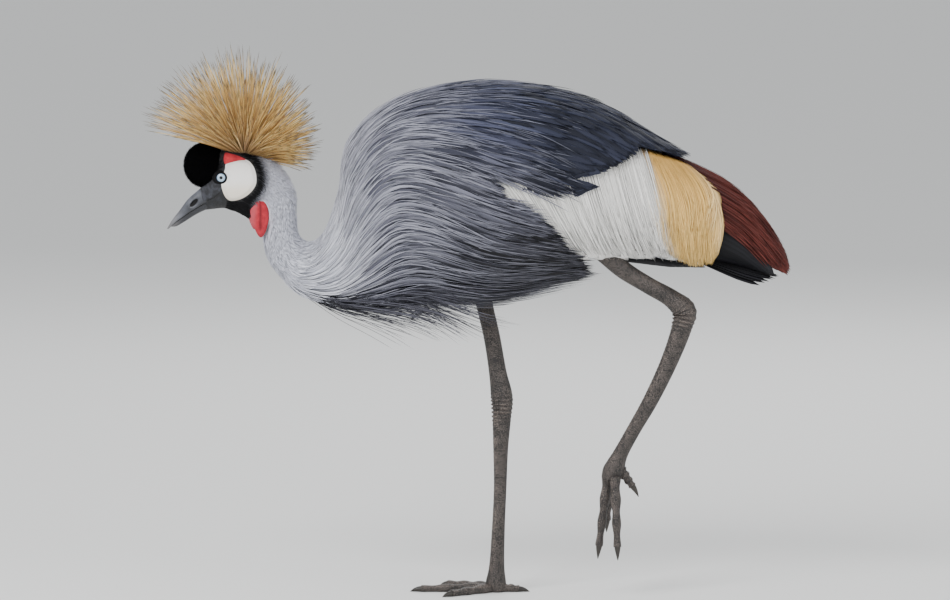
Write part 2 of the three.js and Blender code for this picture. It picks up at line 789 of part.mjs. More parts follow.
// A leg's rows with scutes down the front of the tarsus, each a lip that stands out at its lower edge
function scutedRows(rows) {
  const upper = rows.slice(0, ankleRow + 2);
  const lower = rows.slice(soleRow);
  const path = rows.slice(ankleRow + 1, soleRow + 1);
  const between = [];
  for (let k = 1; k < scuteCount; k += 1) {
    const place = ((path.length - 1) * k) / scuteCount;
    const part = Math.min(Math.floor(place), path.length - 2);
    const row = path[part].map((value, axis) => lerp(value, path[part + 1][axis], place - part));
    const [x, y, z, deep, wide] = row;
    between.push([x, y, z + scuteLip, deep, wide, scuteLift]);
    between.push([x, y, z - scuteLip, deep, wide, 0]);
  }
  return [...upper, ...between, ...lower];
}

// Toe joints along a line, thick at each joint, with a claw at the end
function makeToe(from, to, joints = 3) {
  const rows = [];
  const steps = joints * 2;
  for (let k = 0; k <= steps; k += 1) {
    const t = k / steps;
    const thick = toeThick * (k % 2 === 0 ? 1.12 : 0.86) * (1 - 0.35 * t);
    rows.push([...from.map((value, axis) => lerp(value, to[axis], t)), thick, thick * 1.1]);
  }
  const [x, y, z, deep, wide] = rows[steps];
  const direction = new THREE.Vector3(...to).sub(new THREE.Vector3(...from)).normalize();
  const clawRow = (share, drop, deepShare, wideShare) => {
    const place = new THREE.Vector3(x, y, z).addScaledVector(direction, gap + clawLength * share);
    return [place.x, place.y, place.z - drop * deep, deep * deepShare, wide * wideShare];
  };
  const claw = limb([
    clawRow(0, 0, 0.85, 0.8),
    clawRow(0.1, 0, 0.8, 0.75),
    clawRow(0.5, 0.1, 0.6, 0.5),
    clawRow(1, 0.6, 0.1, 0.1),
  ], 6);
  return { solid: limb(rows, 6), claw };
}

// The toes of the standing foot lie on the floor, cut flat underneath
function standingToe(length, angle) {
  const [x, y] = standingRows[standingRows.length - 1];
  const from = [x, y, 0.98 * toeThick];
  const reach = [-length * Math.cos(angle * degree), length * Math.sin(angle * degree)];
  return makeToe(from, [x + reach[0], y + reach[1], 0.59 * toeThick]);
}

function partingPlate([centre, direction]) {
  const size = 60;
  const geometry = new THREE.BoxGeometry(size, size, gap);
  const upright = new THREE.Vector3(0, 0, 1);
  const across = new THREE.Vector3(...direction).normalize();
  geometry.applyQuaternion(new THREE.Quaternion().setFromUnitVectors(upright, across));
  geometry.translate(...centre);
  return toSolid(geometry);
}

// Parts a leg with thin cuts, and gives its pieces from the highest to the lowest
function parted(solid, cuts) {
  const scrap = 50;
  const height = (piece) => piece.boundingBox().max[2] + piece.boundingBox().min[2];
  const pieces = without(solid, cuts.map(partingPlate)).decompose();
  return pieces.filter((piece) => piece.volume() > scrap).sort((a, b) => height(b) - height(a));
}

const group = new THREE.Group();

function addNode(name, solid, colour, roughness = 0.75) {
  const material = new THREE.MeshStandardMaterial({ color: colour, roughness, metalness: 0 });
  const mesh = new THREE.Mesh(toGeometry(solid), material);
  mesh.name = name;
  group.add(mesh);
}

function addLeg(side, rows, cuts, toes) {
  const pieces = [limb(scutedRows(rows))];
  for (const [, { solid }] of toes) {
    pieces.push(solid);
  }
  const whole = without(joined(pieces), [floorCut, torsoClear]);
  const [upper, lower, foot] = parted(whole, cuts);
  addNode(`leg_${side}_upper`, upper, 0x524944);
  addNode(`leg_${side}_lower`, lower, 0x524944);
  addNode(`foot_${side}`, foot, 0x4a423e);
  for (const [name, { claw }] of toes) {
    addNode(`claw_${side}_${name}`, claw.subtract(floorCut), 0x26221f, 0.5);
  }
}

addNode('torso', makeTorso(), 0x6f7180);
addNode('neck_lower', makeNeckLower(), 0x9a9bab);
addNode('neck_upper', neckUpperCore, 0xb8b8c6);
addNode('head', makeHead(), 0xd8d4d4);
addNode('forehead_cap', makeCap(), 0x0a0a0c);
addNode('bill_upper', makeBillUpper(), 0x4a4c52, 0.5);
addNode('bill_lower', billHalf(billLowerRows), 0x3c3e44, 0.5);
addNode('eye_left', eyeball(-1, eye.radius), 0x9fbfd6, 0.15);
addNode('eye_right', eyeball(1, eye.radius), 0x9fbfd6, 0.15);
addNode('wattle', makeWattle(), 0xc02838, 0.5);
addNode('crest', makeCrest(), 0xc29a5f);
addNode('wing_left', makeWing(-1, liftedClear), 0xf0ece4);
addNode('wing_right', makeWing(1, standingClear), 0xf0ece4);
addNode('tail', makeTail(), 0x17161a);
const standingToeList = standingToes.map(([name, length, angle]) => [name, standingToe(length, angle)]);
const liftedToeList = liftedToes.map(([name, from, to]) => [name, makeToe(from, to)]);
addLeg('right', standingRows, standingCuts, standingToeList);
addLeg('left', liftedRows, liftedCuts, liftedToeList);

export default group;
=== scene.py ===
import math

import bpy
import numpy as np
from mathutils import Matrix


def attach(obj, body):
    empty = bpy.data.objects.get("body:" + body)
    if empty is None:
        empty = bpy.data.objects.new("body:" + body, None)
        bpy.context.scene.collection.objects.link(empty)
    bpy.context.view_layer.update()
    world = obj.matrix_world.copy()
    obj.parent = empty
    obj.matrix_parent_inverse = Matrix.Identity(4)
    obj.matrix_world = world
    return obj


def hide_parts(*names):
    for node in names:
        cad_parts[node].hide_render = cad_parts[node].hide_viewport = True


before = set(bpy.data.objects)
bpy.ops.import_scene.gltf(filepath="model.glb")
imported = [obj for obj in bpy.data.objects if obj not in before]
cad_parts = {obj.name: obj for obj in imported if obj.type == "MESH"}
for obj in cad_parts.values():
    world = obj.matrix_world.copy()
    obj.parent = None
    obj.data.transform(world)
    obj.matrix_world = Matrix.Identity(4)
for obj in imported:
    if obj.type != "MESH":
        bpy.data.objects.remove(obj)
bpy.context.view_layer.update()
print("frame loaded")

# A grey crowned crane at life size. Its parts are measured in mm, and become metres in addPiece.
mm = 0.001
pi = math.pi


# Small helpers for numbers and arrays
def srgb(red, green, blue):  # screen values from 0 to 255 as the linear colour that shaders take
    share = np.array([red, green, blue]) / 255.0
    return np.where(share <= 0.04045, share / 12.92, ((share + 0.055) / 1.055) ** 2.4)


def smoothStep(low, high, value):
    share = np.clip((np.asarray(value, float) - low) / (high - low), 0, 1)
    return share * share * (3 - 2 * share)


def mixed(first, second, share):
    return first + (second - first) * share


def mixedColour(first, second, share):
    return first + (second - first) * np.asarray(share)[..., None]


def unit(vectors):
    return vectors / np.maximum(np.linalg.norm(vectors, axis=-1, keepdims=True), 1e-12)


def splineTable(points, perSpan, closed=False):  # smooth line through points, perSpan steps between two
    points = np.asarray(points, float)
    if closed:
        padded = np.vstack([points[-1:], points, points[:2]])
    else:
        padded = np.vstack([2 * points[0] - points[1], points, 2 * points[-1] - points[-2]])
    share = (np.arange(perSpan) / perSpan)[:, None]
    rows = []
    for k in range(1, len(padded) - 2):
        before, start, end, after = padded[k - 1:k + 3]
        pairs = ((before, start), (start, end), (end, after))
        gaps = [max(np.linalg.norm(b - a) ** 0.5, 1e-4) for a, b in pairs]
        leave = (start - before) / gaps[0] - (end - before) / (gaps[0] + gaps[1]) + (end - start) / gaps[1]
        reach = (end - start) / gaps[1] - (after - start) / (gaps[1] + gaps[2]) + (after - end) / gaps[2]
        leave = leave * gaps[1]
        reach = reach * gaps[1]
        square = -3 * start + 3 * end - 2 * leave - reach
        cube = 2 * start - 2 * end + leave + reach
        rows.append(start + leave * share + square * share ** 2 + cube * share ** 3)
    if not closed:
        rows.append(points[-1:])
    return np.vstack(rows)


# The outer form of the bird in mm, as in the solids: top x and z, bottom x and z, half width.
# A place on it is a section number, an angle from the top (positive towards +Y) and a lift.
form = {
    "head": [
        [-301.5, 456, -295.5, 431, 9],
        [-295, 470, -287, 432, 14],
        [-284, 486, -275, 433, 18],
        [-268, 496, -264, 431, 20.5],
        [-247, 499, -253.5, 426, 21.5],
    ],
    "body": [
        [-223, 493, -245, 420, 21],
        [-194, 453, -237, 406, 20],
        [-193, 425, -232, 395, 20],
        [-190, 403, -226, 375, 22],
        [-180, 396, -212, 356, 25],
        [-167, 402, -194, 338, 30],
        [-148, 450, -150, 323, 48],
        [-137, 507, -102, 327, 65],
        [-87, 554, -50, 337, 80],
        [14, 576, 25, 337, 90],
        [129, 559, 124, 357, 84],
        [222, 507, 222, 363, 66],
        [308, 450, 303, 357, 43],
        [372, 366, 348, 338, 24],
    ],
    "perSpan": 40,
}
sections = np.array(form["head"] + form["body"], float)
headCount = len(form["head"])
lastSection = len(form["body"]) - 1
ridgeLine = splineTable(sections[:, [0, 4, 1]], form["perSpan"])
keelLine = splineTable(np.column_stack([sections[:, 2], 0 * sections[:, 0], sections[:, 3]]), form["perSpan"])


def formPoint(section, angle, lift=0.0):
    section, angle, lift = np.broadcast_arrays(np.asarray(section, float), angle, lift)
    place = np.clip((section + headCount) * form["perSpan"], 0, len(ridgeLine) - 1.001)
    row = place.astype(int)
    part = (place - row)[..., None]
    top = mixed(ridgeLine[row], ridgeLine[row + 1], part)
    bottom = mixed(keelLine[row], keelLine[row + 1], part)
    halfX = (top[..., 0] - bottom[..., 0]) / 2
    halfZ = (top[..., 2] - bottom[..., 2]) / 2
    upward = np.cos(angle) * (1 + lift / np.hypot(halfX, halfZ))
    x = (top[..., 0] + bottom[..., 0]) / 2 + halfX * upward
    z = (top[..., 2] + bottom[..., 2]) / 2 + halfZ * upward
    return np.stack([x, (top[..., 1] + lift) * np.sin(angle), z], axis=-1)


def formTangents(section, angle):
    step = 0.02
    along = (formPoint(section + step, angle) - formPoint(section - step, angle)) / (2 * step)
    around = (formPoint(section, angle + step) - formPoint(section, angle - step)) / (2 * step)
    return along, around


def formNormal(section, angle):
    along, around = formTangents(section, angle)
    out = formPoint(section, angle, 1.0) - formPoint(section, angle)
    across = unit(np.cross(around, along))
    return across * np.where((across * out).sum(-1, keepdims=True) < 0, -1.0, 1.0)


def formSteps(section, angle, direction):  # change of section and angle for one mm along a direction
    along, around = formTangents(section, angle)
    aa, ab, bb = (along * along).sum(-1), (along * around).sum(-1), (around * around).sum(-1)
    a, b = (direction * along).sum(-1), (direction * around).sum(-1)
    scale = np.maximum(aa * bb - ab * ab, 1e-9)
    return (a * bb - b * ab) / scale, (b * aa - a * ab) / scale


# Depth of the coat: short on the head, deeper down the neck, deepest under the wings
coat = {"head": 0.5, "neck": 4.0, "mantle": 12.0, "flank": 22.0}


def coatDepth(section, angle):
    turn = np.abs(angle)
    depth = mixed(coat["head"], coat["neck"], smoothStep(-0.6, 1.2, section))
    depth = mixed(depth, coat["mantle"], smoothStep(4.5, 8, section))
    wingShare = smoothStep(7.4, 8.4, section) * smoothStep(0.7, 1.0, turn) * (1 - smoothStep(2.1, 2.7, turn))
    rearShare = smoothStep(9.4, 10.4, section)
    return mixed(depth, coat["flank"], np.maximum(wingShare, rearShare))


crown = {"rise": 7.4, "front": (-4.8, -3.8), "back": (-2.4, -0.4), "sides": (0.3, 1.0)}


def crownRise(section, angle):  # the crown stands up between the forehead cap and the crest
    ends = smoothStep(*crown["front"], section) * (1 - smoothStep(*crown["back"], section))
    return crown["rise"] * ends * (1 - smoothStep(*crown["sides"], np.abs(angle)))


def flowLines(section, angle, length, stations, bend, heading=0.0):  # lines that follow the lie of the coat
    rows = [(np.array(section, float), np.array(angle, float))]
    stride = length / (stations - 1)
    for _ in range(stations - 1):
        s, a = rows[-1]
        along, around = formTangents(s, a)
        stepS = stride / np.maximum(np.linalg.norm(along, axis=-1), 1e-6)
        turn = heading * stride / np.maximum(np.linalg.norm(around, axis=-1), 2.0)
        rows.append((s + stepS, a + bend(s, a) * stepS * np.sin(a) + turn))
    return np.stack([row[0] for row in rows], 1), np.stack([row[1] for row in rows], 1)


def lengthAlong(points):  # distance walked to each point of a line
    return np.concatenate([[0], np.cumsum(np.linalg.norm(np.diff(points, axis=0), axis=1))])


def rootGrid(random, span, gaps, angleFrom=0.02, angleTo=pi - 0.02):  # roots in staggered rows, on both sides
    fine = np.linspace(*span, 200)
    walked = lengthAlong(formPoint(fine, 1.8))
    rowGap, columnGap = gaps
    rowCount = max(2, int(walked[-1] / rowGap))
    sectionList, angleList = [], []
    turns = np.linspace(angleFrom, angleTo, 60)
    for k in range(rowCount):
        s = np.interp((k + 0.5) * walked[-1] / rowCount, walked, fine)
        arc = lengthAlong(formPoint(np.full(60, s), turns))
        columns = max(2, int(arc[-1] / columnGap))
        for side in (-1, 1):
            shift = np.arange(columns) + 0.25 + 0.5 * (k % 2) + random.uniform(-0.35, 0.35, columns)
            angles = np.interp(np.clip(shift / columns, 0, 1) * arc[-1], arc, turns)
            sectionList.append(s + random.uniform(-0.4, 0.4, columns) * (span[1] - span[0]) / rowCount)
            angleList.append(side * angles)
    return np.concatenate(sectionList), np.concatenate(angleList)


# Feather vanes: closed strips with a raised shaft, as rings of points from root to tip
def vaneColumns(half, profile, thick, columns, cup):  # reach to the side and rise of each line down a vane
    width = half[:, None] * profile[None, :]
    for across in np.linspace(-1, 1, columns):
        yield across * width, thick * (1 - abs(across)) - cup * across * across * width


def vaneRingsOnForm(s, a, lift, half, profile, thick, columns=3, cup=0.0):
    middle = formPoint(s, a, lift)
    along = unit(np.gradient(middle, axis=1))[:, :-1]
    s, a, lift = s[:, :-1], a[:, :-1], lift[:, :-1]
    stepS, stepA = formSteps(s, a, unit(np.cross(formNormal(s, a), along)))
    rings = []
    for reach, rise in vaneColumns(half, profile, thick, columns, cup):
        rings.append(formPoint(s + stepS * reach, a + stepA * reach, lift + rise))
    return np.stack(rings, axis=2), middle[:, -1]


def vaneRingsFree(middle, out, half, profile, thick, columns=3, cup=0.0):
    along = unit(np.gradient(middle, axis=1))[:, :-1]
    side = unit(np.cross(np.broadcast_to(out, along.shape), along))
    facing = unit(np.cross(along, side))
    rings = []
    for reach, rise in vaneColumns(half, profile, thick, columns, cup):
        rings.append(middle[:, :-1] + side * reach[..., None] + facing * rise[..., None])
    return np.stack(rings, axis=2), middle[:, -1]


def vaneTriangles(stations, columns):
    rows = []
    for k in range(stations - 1):
        for j in range(columns):
            a, b = k * columns + j, k * columns + (j + 1) % columns
            rows += [(a, a + columns, b), (b, a + columns, b + columns)]
    for j in range(1, columns - 1):
        rows.append((0, j, j + 1))
    tip, last = stations * columns, (stations - 1) * columns
    for j in range(columns):
        rows.append((last + j, tip, last + (j + 1) % columns))
    return np.array(rows)


def signedVolume(vertices, triangles):
    a, b, c = (vertices[triangles[:, k]] for k in range(3))
    return (a * np.cross(b, c)).sum() / 6


def vaneBundle(rings, tips, shares, pale, dark, tint, root):  # arrays of many vanes with their marks
    count, stations, columns = rings.shape[:3]
    perVane = stations * columns + 1
    vertices = np.concatenate([rings.reshape(count, -1, 3), tips[:, None]], axis=1)
    one = vaneTriangles(stations, columns)
    samples = vertices[::1 + count // 9]
    if np.mean([signedVolume(vane - vane[0], one) for vane in samples]) < 0:
        one = one[:, ::-1]
    triangles = (one[None] + (np.arange(count) * perVane)[:, None, None]).reshape(-1, 3)
    along = np.append(np.repeat(shares, columns), 1.0)
    across = np.append(np.tile(np.linspace(-1, 1, columns), stations), 0.0)
    spread = np.stack([across * 0.5 + 0.5, along], axis=-1) * 0.003
    uv = rootPatch(*root)[:, None, :] + spread[None]
    return {
        "vertices": vertices.reshape(-1, 3),
        "triangles": triangles,
        "along": np.tile(along, count),
        "across": np.tile(across, count),
        "tint": np.repeat(tint, perVane),
        "pale": np.repeat(pale, perVane, axis=0),
        "dark": np.repeat(dark, perVane, axis=0),
        "uv": uv.reshape(-1, 2),
    }


def rootPatch(section, angle):  # where a place lies on the unwrap of the skin
    turn = (np.asarray(angle) + pi) % (2 * pi)
    u = 0.02 + 0.94 * (np.clip(section, -headCount, lastSection) + headCount) / (lastSection + headCount)
    return np.stack([u, 0.02 + 0.94 * turn / (2 * pi)], axis=-1)


def joinedBundle(bundles):
    result = {}
    for key in bundles[0]:
        result[key] = [bundle[key] for bundle in bundles]
    offset = 0
    for k, bundle in enumerate(bundles):
        result["triangles"][k] = bundle["triangles"] + offset
        offset += len(bundle["vertices"])
    return {key: np.concatenate(value) for key, value in result.items()}


def addPiece(name, bundle, material, slotName, *replaced):  # a mesh object that rides on the bird
    vertices, triangles = bundle["vertices"] * mm, bundle["triangles"]
    mesh = bpy.data.meshes.new(name)
    mesh.vertices.add(len(vertices))
    mesh.vertices.foreach_set("co", vertices.astype(np.float32).ravel())
    mesh.loops.add(triangles.size)
    mesh.loops.foreach_set("vertex_index", triangles.astype(np.int32).ravel())
    mesh.polygons.add(len(triangles))
    mesh.polygons.foreach_set("loop_start", np.arange(0, triangles.size, 3, dtype=np.int32))
    mesh.polygons.foreach_set("use_smooth", np.ones(len(triangles), bool))
    mesh.update(calc_edges=True)
    for key, values in bundle.items():
        if key in ("vertices", "triangles"):
            continue
        if key == "uv":
            corners = values[triangles]
            across = corners[..., 1].max(1) - corners[..., 1].min(1) > 0.5  # over the seam under the belly
            corners[..., 1] += 0.94 * (across[:, None] & (corners[..., 1] < 0.5))
            layer = mesh.uv_layers.new(name="OFBake")
            layer.data.foreach_set("uv", corners.astype(np.float32).ravel())
        elif values.ndim == 2:
            layer = mesh.attributes.new(key, "FLOAT_COLOR", "POINT")
            rgba = np.column_stack([values, np.ones(len(values))])
            layer.data.foreach_set("color", rgba.astype(np.float32).ravel())
        else:
            layer = mesh.attributes.new(key, "FLOAT", "POINT")
            layer.data.foreach_set("value", values.astype(np.float32))
    mesh.validate()
    piece = bpy.data.objects.new("fine_" + name, mesh)
    bpy.context.scene.collection.objects.link(piece)
    mesh.materials.append(material)
    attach(piece, "root")
    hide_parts(*replaced)
    print(name, len(triangles), "triangles")


# Closed grids: rings of points with a fan over each end, or rings that run round in a loop
def gridBundle(rings, looped=False):
    rows, columns = rings.shape[:2]
    vertices = rings.reshape(-1, 3)
    k, j = np.meshgrid(np.arange(rows if looped else rows - 1), np.arange(columns), indexing="ij")
    here, below = k * columns, (k + 1) % rows * columns
    after = (j + 1) % columns
    corners = (here + j, here + after, below + j, below + after)
    first, second, third, fourth = (corner.ravel() for corner in corners)
    triangles = np.vstack([np.column_stack([first, third, second]), np.column_stack([second, third, fourth])])
    if not looped:
        first, last = len(vertices), len(vertices) + 1
        vertices = np.vstack([vertices, rings[0].mean(0), rings[-1].mean(0)])
        j = np.arange(columns)
        after = (j + 1) % columns
        base = (rows - 1) * columns
        starts = np.column_stack([np.full(columns, first), j, after])
        ends = np.column_stack([np.full(columns, last), base + after, base + j])
        triangles = np.vstack([triangles, starts, ends])
    if signedVolume(vertices - vertices.mean(0), triangles) < 0:
        triangles = triangles[:, ::-1]
    return {"vertices": vertices, "triangles": triangles}


def ended(values):  # marks of a grid, with one more value for each end's middle
    flat = values.reshape(-1, *values.shape[2:])
    return np.concatenate([flat, [values[0].mean(0), values[-1].mean(0)]])


# Shader tools
def newMaterial(name, settings):
    material = bpy.data.materials.new(name)
    material.use_nodes = True
    shader = material.node_tree.nodes["Principled BSDF"]
    for socket, value in settings.items():
        shader.inputs[socket].default_value = value
    return material, material.node_tree, shader


def newGroup(name, inputs, outputs):
    group = bpy.data.node_groups.new(name, "ShaderNodeTree")
    for label, value in inputs.items():
        kind = "NodeSocketColor" if np.ndim(value) else "NodeSocketFloat"
        socket = group.interface.new_socket(name=label, in_out="INPUT", socket_type=kind)
        socket.default_value = value
    for label, kind in outputs.items():
        group.interface.new_socket(name=label, in_out="OUTPUT", socket_type="NodeSocket" + kind)
    return group, group.nodes.new("NodeGroupInput"), group.nodes.new("NodeGroupOutput")


def feed(tree, sockets, given):  # each socket takes a link, a number or a colour
    for socket, value in zip(sockets, given):
        if hasattr(value, "links"):
            tree.links.new(value, socket)
        else:
            socket.default_value = value if np.ndim(value) == 0 else (*value, 1.0)


def mathNode(tree, operation, *given, clamp=False):
    node = tree.nodes.new("ShaderNodeMath")
    node.operation = operation
    node.use_clamp = clamp
    feed(tree, node.inputs, given)
    return node.outputs[0]


def rangeNode(tree, value, low, high, toLow=0.0, toHigh=1.0):
    node = tree.nodes.new("ShaderNodeMapRange")
    node.interpolation_type = "SMOOTHSTEP"
    feed(tree, node.inputs, (value, low, high, toLow, toHigh))
    return node.outputs[0]


def mixNode(tree, share, first, second, kind="MIX"):
    node = tree.nodes.new("ShaderNodeMix")
    node.data_type = "RGBA"
    node.blend_type = kind
    feed(tree, (node.inputs[0], node.inputs[6], node.inputs[7]), (share, first, second))
    return node.outputs[2]


def markNode(tree, name, colour=False):
    node = tree.nodes.new("ShaderNodeAttribute")
    node.attribute_name = name
    return node.outputs["Color" if colour else "Fac"]


def placeGroup(tree, group, **inputs):
    node = tree.nodes.new("ShaderNodeGroup")
    node.node_tree = group
    feed(tree, [node.inputs[label] for label in inputs], inputs.values())
    return node


def noiseNode(tree, scale, detail=3.0, vector=None):
    node = tree.nodes.new("ShaderNodeTexNoise")
    if vector is None:
        vector = tree.nodes.new("ShaderNodeTexCoord").outputs["Object"]
    feed(tree, [node.inputs[label] for label in ("Detail", "Scale", "Vector")], (detail, scale, vector))
    return node.outputs["Fac"]


def addBump(tree, shader, height, distance, strength=1.0):
    bump = tree.nodes.new("ShaderNodeBump")
    sockets = [bump.inputs[label] for label in ("Distance", "Strength", "Height")]
    feed(tree, sockets, (distance, strength, height))
    tree.links.new(bump.outputs["Normal"], shader.inputs["Normal"])


# Pattern of a feather with painted shade at its root, paler on its edges, with barbs that slant off the shaft
def makeFeatherGroup():
    inputs = {
        "Pale": (0.5, 0.5, 0.5, 1), "Dark": (0.1, 0.1, 0.1, 1), "Along": 0.5, "Across": 0.0, "Tint": 0.5,
        "Edge Start": 0.4, "Edge Share": 0.6, "Tip Share": 0.3, "Tint Share": 0.5, "Root Shade": 0.4,
        "Barbs": 40.0, "Slant": 3.0, "Barb Share": 0.15,
    }
    group, given, result = newGroup("featherPatternAndShade", inputs, {"Colour": "Color", "Height": "Float"})
    take = given.outputs
    reach = mathNode(group, "ABSOLUTE", take["Across"])
    slanted = mathNode(group, "MULTIPLY", reach, take["Slant"])
    wobble = mathNode(group, "MULTIPLY", noiseNode(group, 300.0, 2.0), 1.4)
    lines = mathNode(group, "MULTIPLY", take["Along"], take["Barbs"])
    phase = mathNode(group, "ADD", mathNode(group, "SUBTRACT", lines, slanted), wobble)
    wave = mathNode(group, "SINE", mathNode(group, "MULTIPLY", phase, 2 * pi))
    barb = mathNode(group, "MULTIPLY_ADD", wave, 0.5, 0.5)
    edge = rangeNode(group, reach, take["Edge Start"], 1.0)
    tip = rangeNode(group, take["Along"], 0.1, 0.95)
    share = mathNode(group, "MULTIPLY", edge, take["Edge Share"])
    share = mathNode(group, "ADD", share, mathNode(group, "MULTIPLY", tip, take["Tip Share"]))
    tint = mathNode(group, "MULTIPLY", mathNode(group, "SUBTRACT", take["Tint"], 0.4), take["Tint Share"])
    share = mathNode(group, "ADD", share, tint)
    fine = mathNode(group, "MULTIPLY", mathNode(group, "SUBTRACT", barb, 0.5), take["Barb Share"])
    share = mathNode(group, "ADD", share, fine, clamp=True)
    colour = mixNode(group, share, take["Dark"], take["Pale"])
    # painted shade: the root of each vane is darker where the feathers over it shade it; Tint below adds
    # random tone
    shade = rangeNode(group, take["Along"], 0.0, 0.55, take["Root Shade"], 1.0)
    shade = mathNode(group, "MULTIPLY", shade, rangeNode(group, take["Tint"], 0.0, 1.0, 0.88, 1.1))
    grey = group.nodes.new("ShaderNodeCombineColor")
    for socket in list(grey.inputs)[:3]:
        group.links.new(shade, socket)
    colour = mixNode(group, 1.0, colour, grey.outputs[0], "MULTIPLY")
    group.links.new(colour, result.inputs["Colour"])
    group.links.new(barb, result.inputs["Height"])
    return group


featherGroup = makeFeatherGroup()


def featherMaterial(name, pattern, settings, bump=0.0002):
    material, tree, shader = newMaterial(name, settings)
    marks = {label: markNode(tree, label.lower(), True) for label in ("Pale", "Dark")}
    marks |= {label: markNode(tree, label.lower()) for label in ("Along", "Across", "Tint")}
    node = placeGroup(tree, featherGroup, **marks, **pattern)
    tree.links.new(node.outputs["Colour"], shader.inputs["Base Color"])
    addBump(tree, shader, node.outputs["Height"], bump, 0.5)
    return material


# Colours of the body plumage at a place: pale on the neck, slate on the shoulders, navy behind
plumage = {
    "pale": {
        "neck": srgb(244, 245, 252),
        "shoulder": srgb(188, 189, 203),
        "side": srgb(132, 133, 150),
        "low": srgb(66, 66, 76),
        "crown": srgb(92, 96, 120),
        "rear": srgb(54, 59, 80),
        "vent": srgb(44, 44, 48),
    },
    "dark": {
        "neck": srgb(212, 214, 228),
        "shoulder": srgb(88, 89, 103),
        "side": srgb(31, 32, 41),
        "low": srgb(7, 7, 10),
        "crown": srgb(46, 49, 68),
        "rear": srgb(17, 20, 33),
        "vent": srgb(8, 8, 10),
    },
}


def plumageAt(place, kind):
    colours = plumage[kind]
    x, z = place[..., 0], place[..., 2]
    colour = mixedColour(colours["neck"], colours["shoulder"], smoothStep(-175, -110, x))
    colour = mixedColour(colour, colours["side"], smoothStep(-125, 0, x))
    colour = mixedColour(colour, colours["low"], smoothStep(-120, 20, x) * (1 - smoothStep(390, 470, z)))
    colour = mixedColour(colour, colours["crown"], smoothStep(-110, -10, x) * smoothStep(475, 540, z))
    colour = mixedColour(colour, colours["vent"], smoothStep(60, 130, x) * (1 - smoothStep(390, 430, z)))
    return mixedColour(colour, colours["rear"], smoothStep(-5, 70, x) * smoothStep(430, 490, z))


# Marks of the head, as outlines in x and z that are seen from the side
face = {
    "cheek": [
        (-272.2, 484.6), (-265, 488), (-252, 490), (-246.5, 488), (-242, 483), (-239.5, 477.5),
        (-238.2, 470.5), (-238.6, 462.5), (-242, 456), (-248, 449.8), (-255, 445.5), (-262, 443.2),
        (-267.5, 443), (-271.6, 445.8), (-275, 452), (-277.2, 460.7), (-277, 469), (-273.2, 478.5),
    ],
    "redPatch": [
        (-273.6, 485), (-273.2, 497), (-266, 496), (-258, 493.6), (-249.5, 489.2), (-258, 488), (-266, 486),
    ],
    "velvetEdge": [
        (-302, 457), (-300.7, 458.8), (-294, 462), (-289.5, 468.5),
        (-282.6, 473.7), (-275.5, 478.7), (-270, 481),
    ],
    "gape": [(-297, 441.5), (-290, 444), (-284, 447.5), (-279, 452)],
    "jawEdge": [(-302, 438.5), (-297, 441.6), (-290, 445.8), (-284, 449.7), (-279, 451.5), (-272, 452)],
    "cheekBulge": 2.6,
    "bulgeEdge": 5.0,
    "eyeRoom": 7.0,
}
eye = {
    "x": -277.6, "y": 12.2, "z": 469.4, "radius": 8.0,
    "pupil": (1.8, 2.05), "darkRim": (3.9, 4.8), "blackRim": (4.9, 5.3),  # radii where colours meet
}


def insideDistance(place, outline):  # distance inside a closed outline in x and z, negative outside
    points = splineTable(outline, 5, closed=True)
    x, z = place[..., 0], place[..., 2]
    nearest = np.full(x.shape, 1e9)
    inside = np.zeros(x.shape, bool)
    for (ax, az), (bx, bz) in zip(points, np.roll(points, -1, axis=0)):
        dx, dz = bx - ax, bz - az
        share = np.clip(((x - ax) * dx + (z - az) * dz) / (dx * dx + dz * dz + 1e-9), 0, 1)
        nearest = np.minimum(nearest, np.hypot(x - ax - share * dx, z - az - share * dz))
        inside ^= ((az > z) != (bz > z)) & (x < (bx - ax) * (z - az) / (bz - az + 1e-12) + ax)
    return np.where(inside, nearest, -nearest)


def eyeDistance(place):
    return np.hypot(place[..., 0] - eye["x"], place[..., 2] - eye["z"])


def cheekDistance(place):
    return np.minimum(insideDistance(place, face["cheek"]), eyeDistance(place) - face["eyeRoom"])


def redDistance(place):
    return insideDistance(place, face["redPatch"])


def greyShare(place):  # where the black of the head turns to the grey of the neck
    outside = -insideDistance(place, face["cheek"])
    throat = 14 * (1 - smoothStep(432, 452, place[..., 2]))
    behind = smoothStep(-262 + throat, -244 + throat, place[..., 0])
    return smoothStep(6 + 0.2 * throat, 19 + 0.5 * throat, outside) * behind


headColours = {"black": srgb(9, 9, 12), "band": srgb(17, 17, 21)}


def shareBelow(place, edge, blur):  # 1 below a line of x and z that is seen from the side, 0 above it
    x, z = np.transpose(edge)
    return 1 - smoothStep(-blur, blur, place[..., 2] - np.interp(place[..., 0], x, z))


def loreShare(place):  # bare grey skin between bill and eye, below the velvet of the forehead
    return shareBelow(place, face["velvetEdge"], 1.2) * (1 - smoothStep(-279, -268, place[..., 0]))


# Where the wing shows between the shoulder feathers above and the plumes in front, as the camera
# sees it: x, and the height in the view
openWing = [
    (30.6, 470.7), (47.2, 458.9), (66, 449.5), (84.9, 445.4), (110.8, 444.3), (127.3, 448.3),
    (146.2, 457.7), (124.9, 457), (113.1, 461.2), (104.9, 466.7), (120.2, 467.8), (143.8, 469.5),
    (157.9, 476.6), (172.1, 481.3), (183.9, 490.8), (192.1, 499), (216.9, 494.3), (239.3, 489.6),
    (262, 492), (370, 494), (370, 300), (254.8, 300), (160, 318), (138, 345), (132, 360),
    (123.8, 371.8), (108.1, 387.5), (94.6, 404.3), (73.4, 422.2), (43.1, 437.9), (34.2, 453.6),
]
viewAngle = math.radians(6)  # the camera's height above the level


